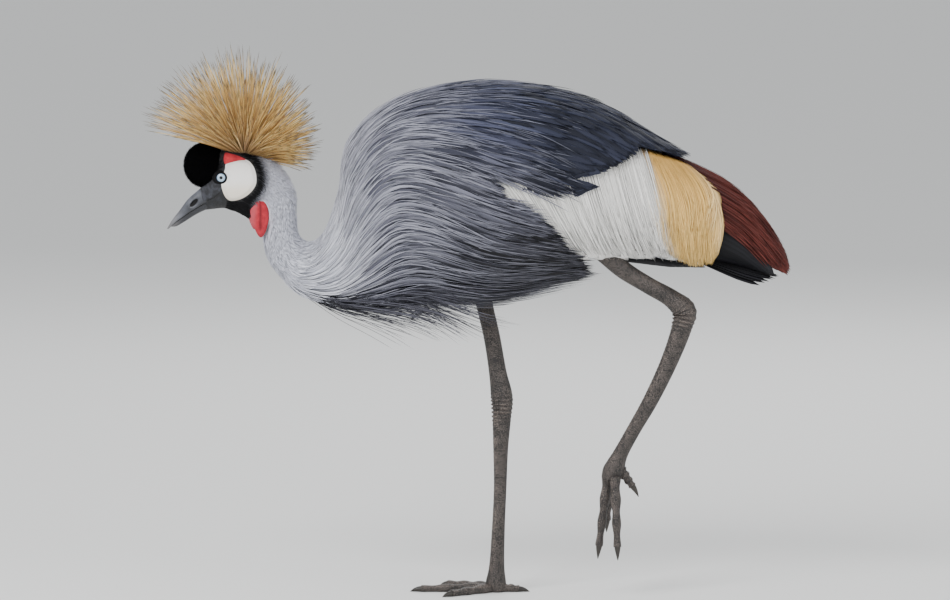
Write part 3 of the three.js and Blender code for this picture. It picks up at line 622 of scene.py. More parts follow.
def outlineDistance(place):  # distance inside the open wing, the same on both sides of the bird
    height = place[..., 2] * math.cos(viewAngle) - np.abs(place[..., 1]) * math.sin(viewAngle)
    return insideDistance(np.stack([place[..., 0], place[..., 1], height], axis=-1), openWing)


def shareBefore(section, angle, length, bend, room, stations=24):  # share of a feather before the wing
    sections, angles = flowLines(section, angle, length, stations, bend)
    inside = outlineDistance(formPoint(sections, angles)) > room[:, None]
    first = np.where(inside.any(1), inside.argmax(1), stations)
    return np.clip((first - 0.5) / (stations - 1), 0, 1)


def headShare(section):
    return 1 - smoothStep(0.9, 1.4, section)


def featherColours(place, section):  # pale and dark colour of any body feather, by where it grows
    pale, dark = plumageAt(place, "pale"), plumageAt(place, "dark")
    black = headShare(section) * (1 - greyShare(place))
    pale = mixedColour(pale, headColours["band"], black)
    dark = mixedColour(dark, headColours["black"], black)
    return pale, dark


print("tools ready")


# Fine relief that all bare parts share: small cells, creases and a slow mottling
def makeSurfaceGroup():
    inputs = {"Scale": 900.0, "Cells": 0.5}
    group, given, result = newGroup("surfaceRelief", inputs, {"Height": "Float", "Shade": "Float"})
    take = given.outputs
    place = group.nodes.new("ShaderNodeTexCoord").outputs["Object"]
    cells = group.nodes.new("ShaderNodeTexVoronoi")
    cells.feature = "DISTANCE_TO_EDGE"
    group.links.new(place, cells.inputs["Vector"])
    group.links.new(take["Scale"], cells.inputs["Scale"])
    ridge = rangeNode(group, cells.outputs["Distance"], 0.0, 0.25)
    grain = noiseNode(group, mathNode(group, "MULTIPLY", take["Scale"], 2.0), 4.0, place)
    cellPart = mathNode(group, "MULTIPLY", ridge, take["Cells"])
    grainPart = mathNode(group, "MULTIPLY", grain, mathNode(group, "SUBTRACT", 1.0, take["Cells"]))
    group.links.new(mathNode(group, "ADD", cellPart, grainPart), result.inputs["Height"])
    slow = noiseNode(group, mathNode(group, "MULTIPLY", take["Scale"], 0.12), 3.0, place)
    group.links.new(rangeNode(group, slow, 0.3, 0.7), result.inputs["Shade"])
    return group


surfaceGroup = makeSurfaceGroup()


def bareMaterial(name, low, high, scale, cells, settings, bump=0.0004, marks={}):
    material, tree, shader = newMaterial(name, settings)
    relief = placeGroup(tree, surfaceGroup, Scale=scale, Cells=cells)
    share = mathNode(tree, "MULTIPLY", relief.outputs["Shade"], 0.5)
    share = mathNode(tree, "ADD", share, mathNode(tree, "MULTIPLY", relief.outputs["Height"], 0.5))
    colour = mixNode(tree, share, low, high)
    for mark, (strength, over) in marks.items():
        share = mathNode(tree, "MULTIPLY", markNode(tree, mark), strength)
        colour = mixNode(tree, share, colour, over)
    tree.links.new(colour, shader.inputs["Base Color"])
    addBump(tree, shader, relief.outputs["Height"], bump, 0.7)
    return material


# Skin of head, neck and body in one piece, as deep as the coat under the outer form
skin = {
    "headRows": 84, "bodyRows": 150, "lastRow": 11.3, "columns": 160,
    "socketDepth": 2.5, "socketEdge": (4.5, 7), "gapeDepth": 0.7, "jawShade": 0.6, "redRise": 0.6,
}


def gapeShare(place):  # the line of the mouth runs on into the face
    line = splineTable(face["gape"], 12)
    x, z = place[..., 0, None], place[..., 2, None]
    return 1 - smoothStep(0.3, 1.1, np.hypot(x - line[:, 0], z - line[:, 1]).min(-1))


def makeSkinMaterial():
    material, tree, shader = newMaterial("skin", {"Roughness": 0.75, "Sheen Weight": 0.1})
    relief = placeGroup(tree, surfaceGroup, Scale=1500.0, Cells=0.3)
    height, shade = relief.outputs["Height"], relief.outputs["Shade"]
    feathered = mixNode(tree, height, markNode(tree, "dark", True), markNode(tree, "pale", True))
    mottle = mathNode(tree, "MULTIPLY", height, shade)
    bare = mixNode(tree, rangeNode(tree, mottle, 0.1, 0.75), srgb(26, 27, 32), srgb(66, 68, 78))
    # painted shade: the gape mark darkens the groove of the mouth line and the skin below the jaw edge
    bare = mixNode(tree, markNode(tree, "gape"), bare, srgb(5, 5, 6))
    colour = mixNode(tree, markNode(tree, "lore"), feathered, bare)
    upper = rangeNode(tree, markNode(tree, "rise"), 452.0, 470.0)
    white = mixNode(tree, upper, srgb(244, 234, 218), srgb(252, 250, 246))
    colour = mixNode(tree, rangeNode(tree, markNode(tree, "cheek"), -0.3, 0.3), colour, white)
    redSkin = mixNode(tree, shade, srgb(170, 26, 38), srgb(216, 48, 60))
    colour = mixNode(tree, rangeNode(tree, markNode(tree, "red"), -0.3, 0.3), colour, redSkin)
    tree.links.new(colour, shader.inputs["Base Color"])
    addBump(tree, shader, height, 0.0005, 0.7)
    return material


def makeSkin():
    stations = np.concatenate([
        np.linspace(-headCount, 0, skin["headRows"])[:-1],
        np.linspace(0, skin["lastRow"], skin["bodyRows"]),
    ])
    turns = 2 * pi * np.arange(skin["columns"]) / skin["columns"] - pi
    s, a = np.meshgrid(stations, turns, indexing="ij")
    outer = formPoint(s, a, crownRise(s, a))
    cheek = cheekDistance(outer)
    red = np.minimum(redDistance(outer), np.abs(outer[..., 1]) - 7)
    bulge = face["cheekBulge"] * smoothStep(-0.4, face["bulgeEdge"], cheek)
    bulge += skin["redRise"] * smoothStep(-0.3, 2, red)
    socket = skin["socketDepth"] * (1 - smoothStep(*skin["socketEdge"], eyeDistance(outer)))
    gape = gapeShare(outer) * (s < 0)
    lift = bulge - socket - skin["gapeDepth"] * gape - coatDepth(s, a) + crownRise(s, a)
    bundle = gridBundle(formPoint(s, a, lift))
    pale, dark = featherColours(outer, s)
    onHead = headShare(s)
    shade = (0.35 + 0.65 * onHead)[..., None]  # darker in the depth of the coat
    bareWing = smoothStep(-6, -1, outlineDistance(outer)) * (1 - smoothStep(200, 235, outer[..., 0]))
    bareWing *= 1 - onHead
    pale, dark = (mixedColour(colour, srgb(225, 222, 216), bareWing) for colour in (pale, dark))
    shade = np.maximum(shade, 0.8 * bareWing[..., None])
    bundle["pale"] = ended(pale * shade)
    bundle["dark"] = ended(dark * shade)
    bundle["cheek"] = ended(np.where(onHead > 0.5, cheek, -20))
    bundle["red"] = ended(np.where(onHead > 0.5, red, -20))
    bundle["lore"] = ended(loreShare(outer) * onHead)
    bundle["rise"] = ended(outer[..., 2])
    # the gape mark holds painted shade: the groove of the mouth line, and jawShade below the jaw edge
    bundle["gape"] = ended(np.maximum(gape, skin["jawShade"] * shareBelow(outer, face["jawEdge"], 0.6)))
    bundle["uv"] = ended(rootPatch(s, a))
    addPiece("skin", bundle, makeSkinMaterial(), "head_skin", "torso", "neck_lower", "neck_upper", "head")


makeSkin()


# Forehead cap: a cushion of black velvet, with its pile standing back
cap = {
    "centre": (-296.2, 0, 482), "halves": (23.0, 18.4, 24.6), "tufts": 9000, "long": 2.4, "half": 0.3,
    "lie": (0.75, 0, 0.65), "pale": srgb(13, 13, 16), "dark": srgb(2, 2, 3),
}


def spherePoints(count):  # even directions all round, from the top to the bottom
    height = 1 - 2 * (np.arange(count) + 0.5) / count
    turn = np.arange(count) * pi * (3 - math.sqrt(5))
    across = np.sqrt(1 - height * height)
    return np.stack([across * np.cos(turn), across * np.sin(turn), height], axis=-1)


def ballRings(centre, halves, rows, columns, turnDegrees=0.0):
    polar = np.linspace(0.02, pi - 0.02, rows)[:, None]
    turn = (2 * pi * np.arange(columns) / columns)[None, :]
    around = np.sin(polar)
    ring = np.stack([around * np.cos(turn), around * np.sin(turn), np.cos(polar) + 0 * turn], -1)
    ring = ring * np.asarray(halves, float)
    angle = math.radians(turnDegrees)
    x = ring[..., 0] * math.cos(angle) - ring[..., 2] * math.sin(angle)
    z = ring[..., 0] * math.sin(angle) + ring[..., 2] * math.cos(angle)
    return np.stack([x, ring[..., 1], z], axis=-1) + np.asarray(centre, float)


def makeCap():
    random = np.random.default_rng(11)
    centre, halves = np.array(cap["centre"], float), np.array(cap["halves"], float)
    base = gridBundle(ballRings(centre, halves, 48, 72))
    dull = {"Roughness": 1.0, "Specular IOR Level": 0.05}
    velvet = bareMaterial("velvetSkin", srgb(3, 3, 4), srgb(8, 8, 10), 1400.0, 0.2, dull)
    addPiece("forehead_cap", base, velvet, "cap_velvet", "forehead_cap")
    directions = spherePoints(cap["tufts"])
    out = unit(directions / halves)
    lie = np.array(cap["lie"])
    lie = unit(lie - out * (out @ lie)[:, None])
    lie = unit(lie + random.normal(0, 0.35, lie.shape))
    root = centre + directions * halves * 0.99
    reach = cap["long"] * random.uniform(0.7, 1.15, len(root))[:, None]
    halfway = root + reach * (0.45 * lie + 0.4 * out)
    middle = np.stack([root, halfway, root + reach * (lie + 0.5 * out)], axis=1)
    half = cap["half"] * random.uniform(0.8, 1.2, len(root))
    rings, tips = vaneRingsFree(middle, out[:, None, :], half, np.array([1.0, 0.9]), 0.12)
    tint = random.uniform(0, 1, len(root))
    pale, dark = (np.tile(cap[key], (len(root), 1)) for key in ("pale", "dark"))
    section = np.interp(root[:, 0], [-320, -272], [-4.9, -3.2])
    angle = np.arctan2(root[:, 1], root[:, 2] - 470)
    bundle = vaneBundle(rings, tips, np.array([0.0, 0.5]), pale, dark, tint, (section, angle))
    pattern = {"Edge Share": 0.2, "Tip Share": 0.3, "Barbs": 2.0, "Root Shade": 0.5}
    material = featherMaterial("velvetPile", pattern, dull)
    addPiece("cap_pile", bundle, material, "cap_velvet", "forehead_cap")


makeCap()


# Bill: both halves as lofts, with the nostril slot and its groove
bill = {
    "upper": [
        [-296, 461, -293, 441, 10.2], [-302, 455.3, -297.9, 438.7, 8.6], [-315.3, 443.5, -309.8, 431.5, 7],
        [-325.4, 430.1, -320, 424.5, 5], [-333.2, 420, -330, 416.9, 3], [-338.8, 410.4, -337.4, 409.9, 0.7],
    ],
    "lower": [
        [-290, 434, -292, 440.5, 8.8], [-296.2, 431.2, -297.8, 438.2, 7.8], [-306.3, 426.2, -310, 430.9, 6.3],
        [-318.5, 418.6, -320.3, 423.9, 4.4], [-328.3, 413.0, -330.0, 416.9, 2.6],
        [-333.4, 412.4, -334.4, 413.4, 0.8],
    ],
    "nostril": (-308.4, 440.0), "slot": (6.6, 2.6), "slotDepth": 2.2,
    "grooveCentre": (-310.5, 437), "groove": (16, 4.2), "grooveDepth": 0.35,
    "slant": math.radians(44),
}


def slotShare(place, centre, halves):  # 1 in the middle of a slanted slot, 0 outside it
    x, z = centre
    dx, dz = place[..., 0] - x, place[..., 2] - z
    long = dx * math.cos(bill["slant"]) + dz * math.sin(bill["slant"])
    wide = dz * math.cos(bill["slant"]) - dx * math.sin(bill["slant"])
    return 1 - smoothStep(0.55, 1.1, np.hypot(long / halves[0], wide / halves[1]))


def makeBillHalf(name, rows, material, upper):
    turns = np.linspace(-pi / 2, pi / 2, 49)
    back = np.linspace(1, -1, 9)[1:-1]
    rings = []
    for outerX, outerZ, mouthX, mouthZ, halfWidth in splineTable(rows, 22):
        mouth = np.array([mouthX, 0, mouthZ])
        outer = np.array([outerX, 0, outerZ])
        sides = np.stack([0 * turns, halfWidth * np.sin(turns), 0 * turns], -1)
        arc = mouth + (outer - mouth) * np.cos(turns)[:, None] ** 0.9 + sides
        floor = mouth + np.stack([0 * back, halfWidth * back, 0 * back], -1)
        rings.append(np.vstack([arc, floor]))
    rings = np.array(rings)
    slot = slotShare(rings, bill["nostril"], bill["slot"]) * upper
    groove = slotShare(rings, bill["grooveCentre"], bill["groove"]) * upper
    inward = bill["slotDepth"] * slot + bill["grooveDepth"] * groove
    rings[..., 1] -= np.sign(rings[..., 1]) * np.minimum(inward, 0.75 * np.abs(rings[..., 1]))
    bundle = gridBundle(rings)
    bundle["slot"] = ended(slot)
    # painted shade: the lower half of the bill is made darker than the upper
    bundle["lowerHalfShade"] = np.full(len(bundle["vertices"]), 0.0 if upper else 0.9)
    bundle["tipShare"] = ended(smoothStep(318, 338, -rings[..., 0]))
    # painted shade: darker along the edges and the inner floor where the two halves meet
    fromMouth = np.abs(np.concatenate([np.cos(turns), 0 * back]))[None, :] + 0 * rings[..., 0]
    bundle["mouth"] = ended((1 - smoothStep(0.0, 0.2, fromMouth)) * (0.7 if upper else 0.9))
    addPiece(name, bundle, material, "bill", name)


def makeBillMaterial():
    material, tree, shader = newMaterial("billHorn", {"Coat Weight": 0.06, "Coat Roughness": 0.4})
    relief = placeGroup(tree, surfaceGroup, Scale=500.0, Cells=0.0)
    share = mathNode(tree, "MULTIPLY", relief.outputs["Shade"], 0.6)
    colour = mixNode(tree, share, srgb(46, 48, 54), srgb(104, 107, 118))
    # painted shade darkens the lower half
    colour = mixNode(tree, markNode(tree, "lowerHalfShade"), colour, srgb(30, 31, 36))
    tip = mathNode(tree, "MULTIPLY", markNode(tree, "tipShare"), 0.5)
    colour = mixNode(tree, tip, colour, srgb(140, 138, 138))
    # painted shade: the nostril slot is painted near black for the dark inside its hollow
    colour = mixNode(tree, rangeNode(tree, markNode(tree, "slot"), 0.15, 0.5), colour, srgb(5, 5, 6))
    # painted shade where the halves meet
    colour = mixNode(tree, markNode(tree, "mouth"), colour, srgb(22, 22, 24))
    tree.links.new(colour, shader.inputs["Base Color"])
    dull = rangeNode(tree, markNode(tree, "slot"), 0.1, 0.5, 0.45, 0.97)
    tree.links.new(dull, shader.inputs["Roughness"])
    addBump(tree, shader, relief.outputs["Height"], 0.00025, 0.6)
    return material


billMaterial = makeBillMaterial()
makeBillHalf("bill_upper", bill["upper"], billMaterial, True)
makeBillHalf("bill_lower", bill["lower"], billMaterial, False)


# Eyes: pale blue iris with a dark rim and a black pupil, under black lids
lid = {
    "loop": [
        (5.1, 18.7), (5.5, 19.15), (6.2, 19.05), (6.9, 18.4), (7.5, 18.1), (8.2, 17.4), (9.6, 15.2),
        (9.4, 13.2), (7.6, 13.0), (6.0, 15.6), (5.2, 17.6),
    ],
    "columns": 120,
}


def aroundEye(side, radius, turn, y):
    x = eye["x"] + radius * np.cos(turn)
    return np.stack([x, side * y + 0 * x, eye["z"] + radius * np.sin(turn)], axis=-1)


def makeEyeMaterial():
    settings = {"Roughness": 0.3, "Coat Weight": 0.6, "Coat Roughness": 0.02, "IOR": 1.4}
    material, tree, shader = newMaterial("eyeball", settings)
    radial = markNode(tree, "fromAxis")
    vector = tree.nodes.new("ShaderNodeCombineXYZ")
    tree.links.new(markNode(tree, "turnX"), vector.inputs[0])
    tree.links.new(markNode(tree, "turnZ"), vector.inputs[1])
    streaks = noiseNode(tree, 9.0, 4.0, vector.outputs[0])
    colour = mixNode(tree, rangeNode(tree, streaks, 0.3, 0.7), srgb(142, 176, 206), srgb(196, 220, 236))
    colour = mixNode(tree, rangeNode(tree, radial, *eye["darkRim"]), colour, srgb(60, 76, 96))
    colour = mixNode(tree, rangeNode(tree, radial, *eye["blackRim"]), colour, srgb(12, 12, 14))
    colour = mixNode(tree, rangeNode(tree, radial, *eye["pupil"]), srgb(3, 3, 4), colour)
    tree.links.new(colour, shader.inputs["Base Color"])
    return material


def makeEye(side, name, material):
    polar = np.linspace(0.012, pi - 0.03, 70)[:, None]
    turn = (2 * pi * np.arange(72) / 72)[None, :]
    radial = eye["radius"] * np.sin(polar) + 0 * turn
    rings = aroundEye(side, radial, turn, eye["y"] + eye["radius"] * np.cos(polar) + 0 * turn)
    bundle = gridBundle(rings)
    front = np.where(polar + 0 * turn < pi / 2, radial, eye["radius"])
    bundle["fromAxis"] = ended(front)
    bundle["turnX"] = ended(np.cos(turn) + 0 * polar)
    bundle["turnZ"] = ended(np.sin(turn) + 0 * polar)
    addPiece(name, bundle, material, "eye", name)


def makeLid(side, name, material):
    loop = splineTable(lid["loop"], 4, closed=True)
    turn = 2 * pi * np.arange(lid["columns"]) / lid["columns"]
    wrinkle = 0.12 * np.sin(23 * turn) + 0.08 * np.sin(41 * turn + 1)
    rows = []
    for radius, y in loop:
        opening = radius * (1 + 0.05 * np.cos(2 * turn)) - 0.25 * np.maximum(np.sin(turn), 0)
        outerShare = smoothStep(6.0, 7.2, radius)
        lower = 1.3 * outerShare * np.maximum(np.sin(turn), 0)
        rows.append(aroundEye(side, opening, turn, y - lower + wrinkle * outerShare))
    bundle = gridBundle(np.array(rows).transpose(1, 0, 2), looped=True)
    addPiece(name, bundle, material, "head_skin", "head")


eyeMaterial = makeEyeMaterial()
lidFinish = {"Roughness": 0.75, "Specular IOR Level": 0.2}
lidMaterial = bareMaterial("lidSkin", srgb(4, 4, 5), srgb(14, 14, 17), 1800.0, 0.5, lidFinish)
for side, label in ((-1, "left"), (1, "right")):
    makeEye(side, "eye_" + label, eyeMaterial)
    makeLid(side, "lid_" + label, lidMaterial)


# Wattle: soft red lobes that hang below the throat
wattle = {
    "lobes": [  # x, y, z, half sizes and turn in degrees: across the throat, and down each side
        [-241, 0, 425, 6.5, 12, 15, 0],
        [-234.0, 14.5, 425.5, 10.2, 5.8, 23.5, 3],
    ],
    "taper": 0.32, "creaseX": 0.5, "creaseHalf": 1.5, "creaseDepth": 1.3, "foldSize": 0.2, "folds": 7,
    "low": srgb(160, 16, 34), "high": srgb(214, 44, 62), "pink": srgb(214, 96, 108), "deep": srgb(96, 8, 20),
}


def rippled(rings, centre, size, waves, phase):  # soft folds down a lobe
    out = rings - np.asarray(centre, float)
    turn = np.arctan2(out[..., 1], out[..., 0])
    fold = np.sin(waves * turn + phase + 0.12 * out[..., 2])
    fold += 0.4 * np.sin(0.55 * out[..., 2] + 2 * turn + phase)
    return rings + unit(out) * (size * fold)[..., None]


def creaseShare(rings, centre, tall):  # a crease down the outer side of a lobe
    out = rings - np.asarray(centre, float)
    across = (out[..., 0] - wattle["creaseX"]) / wattle["creaseHalf"]
    ends = 1 - smoothStep(0.45, 0.85, np.abs(out[..., 2]) / tall)
    return np.exp(-across * across) * ends * smoothStep(0.2, 0.6, np.abs(out[..., 1]) / 6)


def makeWattle():
    bundles = []
    for x, y, z, wide, thick, tall, turn in wattle["lobes"]:
        for side in (-1, 1) if y else (1,):
            centre = (x, side * y, z)
            rings = ballRings(centre, (wide, thick, tall), 64, 96, turn)
            height = (rings[..., 2] - z) / tall
            rings[..., 0] = x + (rings[..., 0] - x) * (1 + wattle["taper"] * height)
            crease = creaseShare(rings, centre, tall)
            rings = rippled(rings, centre, wattle["foldSize"], wattle["folds"], x)
            rings[..., 1] -= np.sign(rings[..., 1] - 0.01) * wattle["creaseDepth"] * crease
            bundle = gridBundle(rings)
            forward = -rings[..., 0] + 0.15 * (rings[..., 2] - z)
            bundle["pinkShare"] = ended(smoothStep(236.5, 242, forward))
            bundle["crease"] = ended(crease)
            bundles.append(bundle)
    settings = {"Roughness": 0.6, "Subsurface Weight": 0.1, "Subsurface Radius": (0.003, 0.001, 0.001)}
    # painted shade: the crease of each lobe is darkened towards deep red
    marks = {"pinkShare": (0.5, wattle["pink"]), "crease": (0.75, wattle["deep"])}
    material = bareMaterial("wattleSkin", wattle["low"], wattle["high"], 1300.0, 0.7, settings, 0.0007, marks)
    addPiece("wattle", joinedBundle(bundles), material, "wattle_skin", "wattle")


makeWattle()
print("head ready")

# Body coat: how long, how wide and how far apart the feathers are at a section
plume = {
    "sections": [-5, 0, 3, 4.3, 5.2, 6.2, 6.9, 7.5, 8.1, 8.8, 9.5, 10.2, 13],
    "topLength": [5, 7, 15, 24, 30, 52, 78, 102, 112, 110, 100, 90, 70],
    "lowLength": [5, 7, 26, 64, 108, 125, 160, 195, 200, 130, 105, 90, 70],
    "half": [0.7, 0.7, 0.75, 0.85, 1.0, 1.35, 1.6, 1.75, 1.9, 2.1, 2.3, 2.3, 2.3],
    "tipLift": [0.3, 0.3, 0.4, 0.6, 1.2, 1.0, 0.5, 0, 0, -1, -2, -2, -2],
}


def plumeValue(key, section):
    return np.interp(section, plume["sections"], plume[key])


def plumeLength(section, angle):
    share = np.abs(angle) / pi
    return mixed(plumeValue("topLength", section), plumeValue("lowLength", section), share ** 1.2)


def coatBend(section, angle):  # strands rise off the neck, arch over and sweep down behind
    share = mixed(-0.25, 0.35, smoothStep(7, 8.4, section)) * smoothStep(3.5, 5.5, section)
    low = 1 - smoothStep(2.27, 2.9, np.abs(angle))
    return np.where(share < 0, share * low, share)


def noBend(section, angle):
    return 0 * section


def slimShape(share):
    return (0.5 + 0.5 * smoothStep(0, 0.35, share)) * (1 - 0.45 * smoothStep(0.55, 1, share))


def broadShape(share):
    rounded = np.sqrt(np.clip(1 - 0.8 * smoothStep(0.75, 1.0, share), 0, 1))
    return (0.55 + 0.45 * smoothStep(0, 0.4, share)) * rounded


def pointShape(share):
    return (0.6 + 0.4 * smoothStep(0, 0.3, share)) * (1 - 0.85 * smoothStep(0.45, 1, share))


def bristleShape(share):
    return 1 - 0.35 * share


# Vanes that grow from places on the form and follow its flow
def formVanes(random, s, a, length, half, stations, tip, shape=slimShape, columns=3, thick=0.5,
              curve=0.6, cup=0.0, bend=coatBend, rough=0.6, heading=0.0, sink=0.5, colours=None,
              rootLift=None):
    s, a, length, half = (np.broadcast_to(np.asarray(v, float), s.shape) for v in (s, a, length, half))
    sections, angles = flowLines(s, a, length, stations + 1, bend, heading)
    keep = sections.max(1) < lastSection - 0.05
    sections, angles, half = sections[keep], angles[keep], half[keep]
    count = len(half)
    tip = np.broadcast_to(np.asarray(tip, float), keep.shape)[keep] + random.normal(0, rough, count)
    start = -coatDepth(sections[:, 0], angles[:, 0]) - sink if rootLift is None else np.full(count, rootLift)
    share = np.linspace(0, 1, stations + 1)
    lift = start[:, None] + (tip - start)[:, None] * share[None, :] ** curve
    rings, tips = vaneRingsOnForm(sections, angles, lift, half, shape(share[:-1]), thick, columns, cup)
    middle = stations // 2
    if colours is None:
        pale, dark = featherColours(formPoint(sections[:, middle], angles[:, middle]), sections[:, middle])
    else:
        pale, dark = (np.tile(colour, (count, 1)) for colour in colours)
    tint = random.uniform(0, 1, count)
    return vaneBundle(rings, tips, share[:-1], pale, dark, tint, (sections[:, 0], angles[:, 0]))


neckPattern = {
    "Edge Share": 0.1, "Tip Share": 0.2, "Tint Share": 0.1, "Barbs": 9.0, "Slant": 1.5, "Barb Share": 0.05,
    "Root Shade": 0.92,
}
plumePattern = {
    "Edge Start": 0.35, "Edge Share": 0.55, "Tip Share": 0.25, "Tint Share": 0.7, "Barbs": 55.0,
    "Slant": 4.0, "Barb Share": 0.2, "Root Shade": 0.35,
}
softFinish = {"Roughness": 0.65, "Specular IOR Level": 0.25}
broadPattern = {
    "Edge Start": 0.55, "Edge Share": 0.7, "Tip Share": 0.1, "Tint Share": 0.75, "Barbs": 60.0, "Slant": 5.0,
    "Barb Share": 0.16, "Root Shade": 0.5,
}
headMaterial = featherMaterial("headFeathers", neckPattern, {"Roughness": 0.85, "Specular IOR Level": 0.2})
neckMaterial = featherMaterial("neckFeathers", neckPattern, softFinish)
plumeMaterial = featherMaterial("plumes", plumePattern, softFinish)
broadMaterial = featherMaterial("broadPlumes", broadPattern, softFinish)


def clearOfWattle(place):  # no feather grows where a lobe hangs
    x, z = place[..., 0] - wattle["lobes"][1][0] + 0.5, place[..., 2] - wattle["lobes"][1][2]
    return (x / 10.6) ** 2 + (z / 22.5) ** 2 > 1


headFeathers = {"span": (-4.7, 0.7), "gaps": (1.7, 1.7), "long": (4.5, 7), "tipLift": 0.8}
neckFeathers = {"span": (0.4, 3.7), "gaps": (2.2, 1.7), "long": (0.75, 1.15)}
neckPlumes = {"span": (3.4, 6.0), "gaps": (3.4, 2.6), "long": (0.7, 1.1)}


def addHeadFeathers():
    random = np.random.default_rng(21)
    s, a = rootGrid(random, headFeathers["span"], headFeathers["gaps"])
    place = formPoint(s, a, crownRise(s, a))
    clear = (cheekDistance(place) < -1.0) & (redDistance(place) < -0.4) & (loreShare(place) < 0.5)
    clear &= (eyeDistance(place) > 9.4) & clearOfWattle(place)
    s, a = s[clear], a[clear]
    length = random.uniform(*headFeathers["long"], len(s)) * mixed(0.55, 1, smoothStep(-4.5, -3, s))
    sections, angles = flowLines(s, a, length, 3, coatBend)
    end = formPoint(sections[:, -1], angles[:, -1])
    clear = (cheekDistance(end) < -0.3) & (redDistance(end) < -0.3)
    s, a, length = s[clear], a[clear], length[clear]
    tip = headFeathers["tipLift"] + crownRise(s, a)
    half = np.where(formPoint(s, a)[..., 0] < -240, 0.7, 0.6)
    bundle = formVanes(random, s, a, length, half, 4, tip, thick=0.15, rough=0.15, sink=0.1)
    addPiece("head_feathers", bundle, headMaterial, "head_skin", "head")


def addNeckFeathers():
    random = np.random.default_rng(22)
    s, a = rootGrid(random, neckFeathers["span"], neckFeathers["gaps"])
    clear = clearOfWattle(formPoint(s, a))
    s, a = s[clear], a[clear]
    length = plumeLength(s, a) * random.uniform(*neckFeathers["long"], len(s))
    half, tip = plumeValue("half", s), plumeValue("tipLift", s)
    bundle = formVanes(random, s, a, length, half, 4, tip, thick=0.12, rough=0.2)
    addPiece("neck_feathers", bundle, neckMaterial, "neck_feathers", "neck_upper")
    s, a = rootGrid(random, neckPlumes["span"], neckPlumes["gaps"])
    length = plumeLength(s, a) * random.uniform(*neckPlumes["long"], len(s))
    half, tip = plumeValue("half", s), plumeValue("tipLift", s)
    bundle = formVanes(random, s, a, length, half, 7, tip, thick=0.35)
    addPiece("neck_plumes", bundle, plumeMaterial, "neck_plumes", "neck_lower")


# Mantle: broad feathers from the neck to the wing, and fine strands over them
mantle = {
    "span": (5.8, 9.2), "broadGaps": (6.2, 5.2), "strandGaps": (6.6, 4.6),
    "long": (0.7, 1.05), "shortest": 32, "shortestShare": 0.3,
    "sections": [5.8, 6.6, 7.4, 8.2, 9.2], "half": [1.2, 2.0, 3.0, 4.0, 4.8], "strandHalf": (0.4, 0.75),
}


def mantleRoots(random, side, gaps):
    s, a = rootGrid(random, mantle["span"], gaps, angleTo=pi - 0.05)
    s, a = s[a * side > 0], a[a * side > 0]
    length = plumeLength(s, a) * random.uniform(*mantle["long"], len(s))
    uneven = random.normal(1.0, 2.5 + 3.5 * smoothStep(1.9, 2.4, np.abs(a)))
    share = shareBefore(s, a, length, coatBend, uneven)
    keep = (share > mantle["shortestShare"]) & (length * share > mantle["shortest"])
    s, a, length = s[keep], a[keep], (length * share)[keep]
    hang = 14 * smoothStep(2.2, 2.9, np.abs(a)) * (1 - smoothStep(7.4, 8.4, s)) * random.uniform(0, 1, len(s))
    return s, a, length, plumeValue("tipLift", s) + hang


def addMantle():
    for side, label in ((-1, "left"), (1, "right")):
        random = np.random.default_rng(31 + side)
        s, a, length, tip = mantleRoots(random, side, mantle["broadGaps"])
        half = np.interp(s, mantle["sections"], mantle["half"]) * random.uniform(0.8, 1.2, len(s))
        bundle = formVanes(
            random, s, a, length, half, 9, tip, pointShape, rough=1.7, columns=5, thick=0.4, curve=0.3,
        )
        addPiece("mantle_" + label, bundle, broadMaterial, "body_feathers", "torso")
        s, a, length, tip = mantleRoots(random, side, mantle["strandGaps"])
        half = random.uniform(*mantle["strandHalf"], len(s))
        heading = random.normal(0, 0.09, len(s))
        bundle = formVanes(
            random, s, a, length, half, 9, tip + 1.2, rough=1.2, thick=0.25, curve=0.3, heading=heading,
        )
        behind = smoothStep(-30, 60, bundle["vertices"][:, 0])
        bundle["pale"] = mixedColour(bundle["pale"], plumage["pale"]["shoulder"], 0.5 - 0.2 * behind)
        bundle["dark"] = mixedColour(bundle["dark"], bundle["pale"], 0.6)
        addPiece("strands_" + label, bundle, plumeMaterial, "body_feathers", "torso")


belly = {
    "span": (7.0, 12.2), "gaps": (8.5, 8.0), "highest": 1.9,
    "long": (55, 100), "shortest": 30, "half": 2.8, "tipLift": -4.0,
}


def addBelly():
    random = np.random.default_rng(41)
    s, a = rootGrid(random, belly["span"], belly["gaps"], angleFrom=belly["highest"])
    length = random.uniform(*belly["long"], len(s))
    share = shareBefore(s, a, length, noBend, random.normal(-1, 2.5, len(s)))
    keep = length * share > belly["shortest"]
    s, a, length = s[keep], a[keep], (length * share)[keep]
    bundle = formVanes(random, s, a, length, belly["half"], 7, belly["tipLift"], rough=1.2, bend=noBend)
    addPiece("belly_plumes", bundle, plumeMaterial, "body_feathers", "torso")


# Shoulder feathers: navy, with soft points, down to an edge over the white of the wing
shoulder = {
    "span": (8.3, 11.0), "gaps": (9.0, 7.0), "lowest": 1.6,
    "sections": [8.4, 8.8, 9.3, 9.8], "angles": [0.35, 0.7, 1.15, 1.6],  # the front edge of their field
    "long": (80, 130), "shortest": 24, "shortestShare": 0.25, "half": (6.0, 9.0),
    "rootLift": -16.0, "tipLift": 1.0, "navy": (srgb(78, 83, 108), srgb(17, 20, 32)),
}
shoulderPattern = {
    "Edge Start": 0.84, "Edge Share": 0.9, "Tip Share": 0.1, "Tint Share": 0.2, "Barbs": 60.0, "Slant": 7.0,
    "Barb Share": 0.16, "Root Shade": 0.6,
}
shoulderMaterial = featherMaterial("shoulderFeathers", shoulderPattern, softFinish)


def shoulderBend(section, angle):
    return mixed(0.5, -0.2, smoothStep(0.9, 1.6, np.abs(angle)))


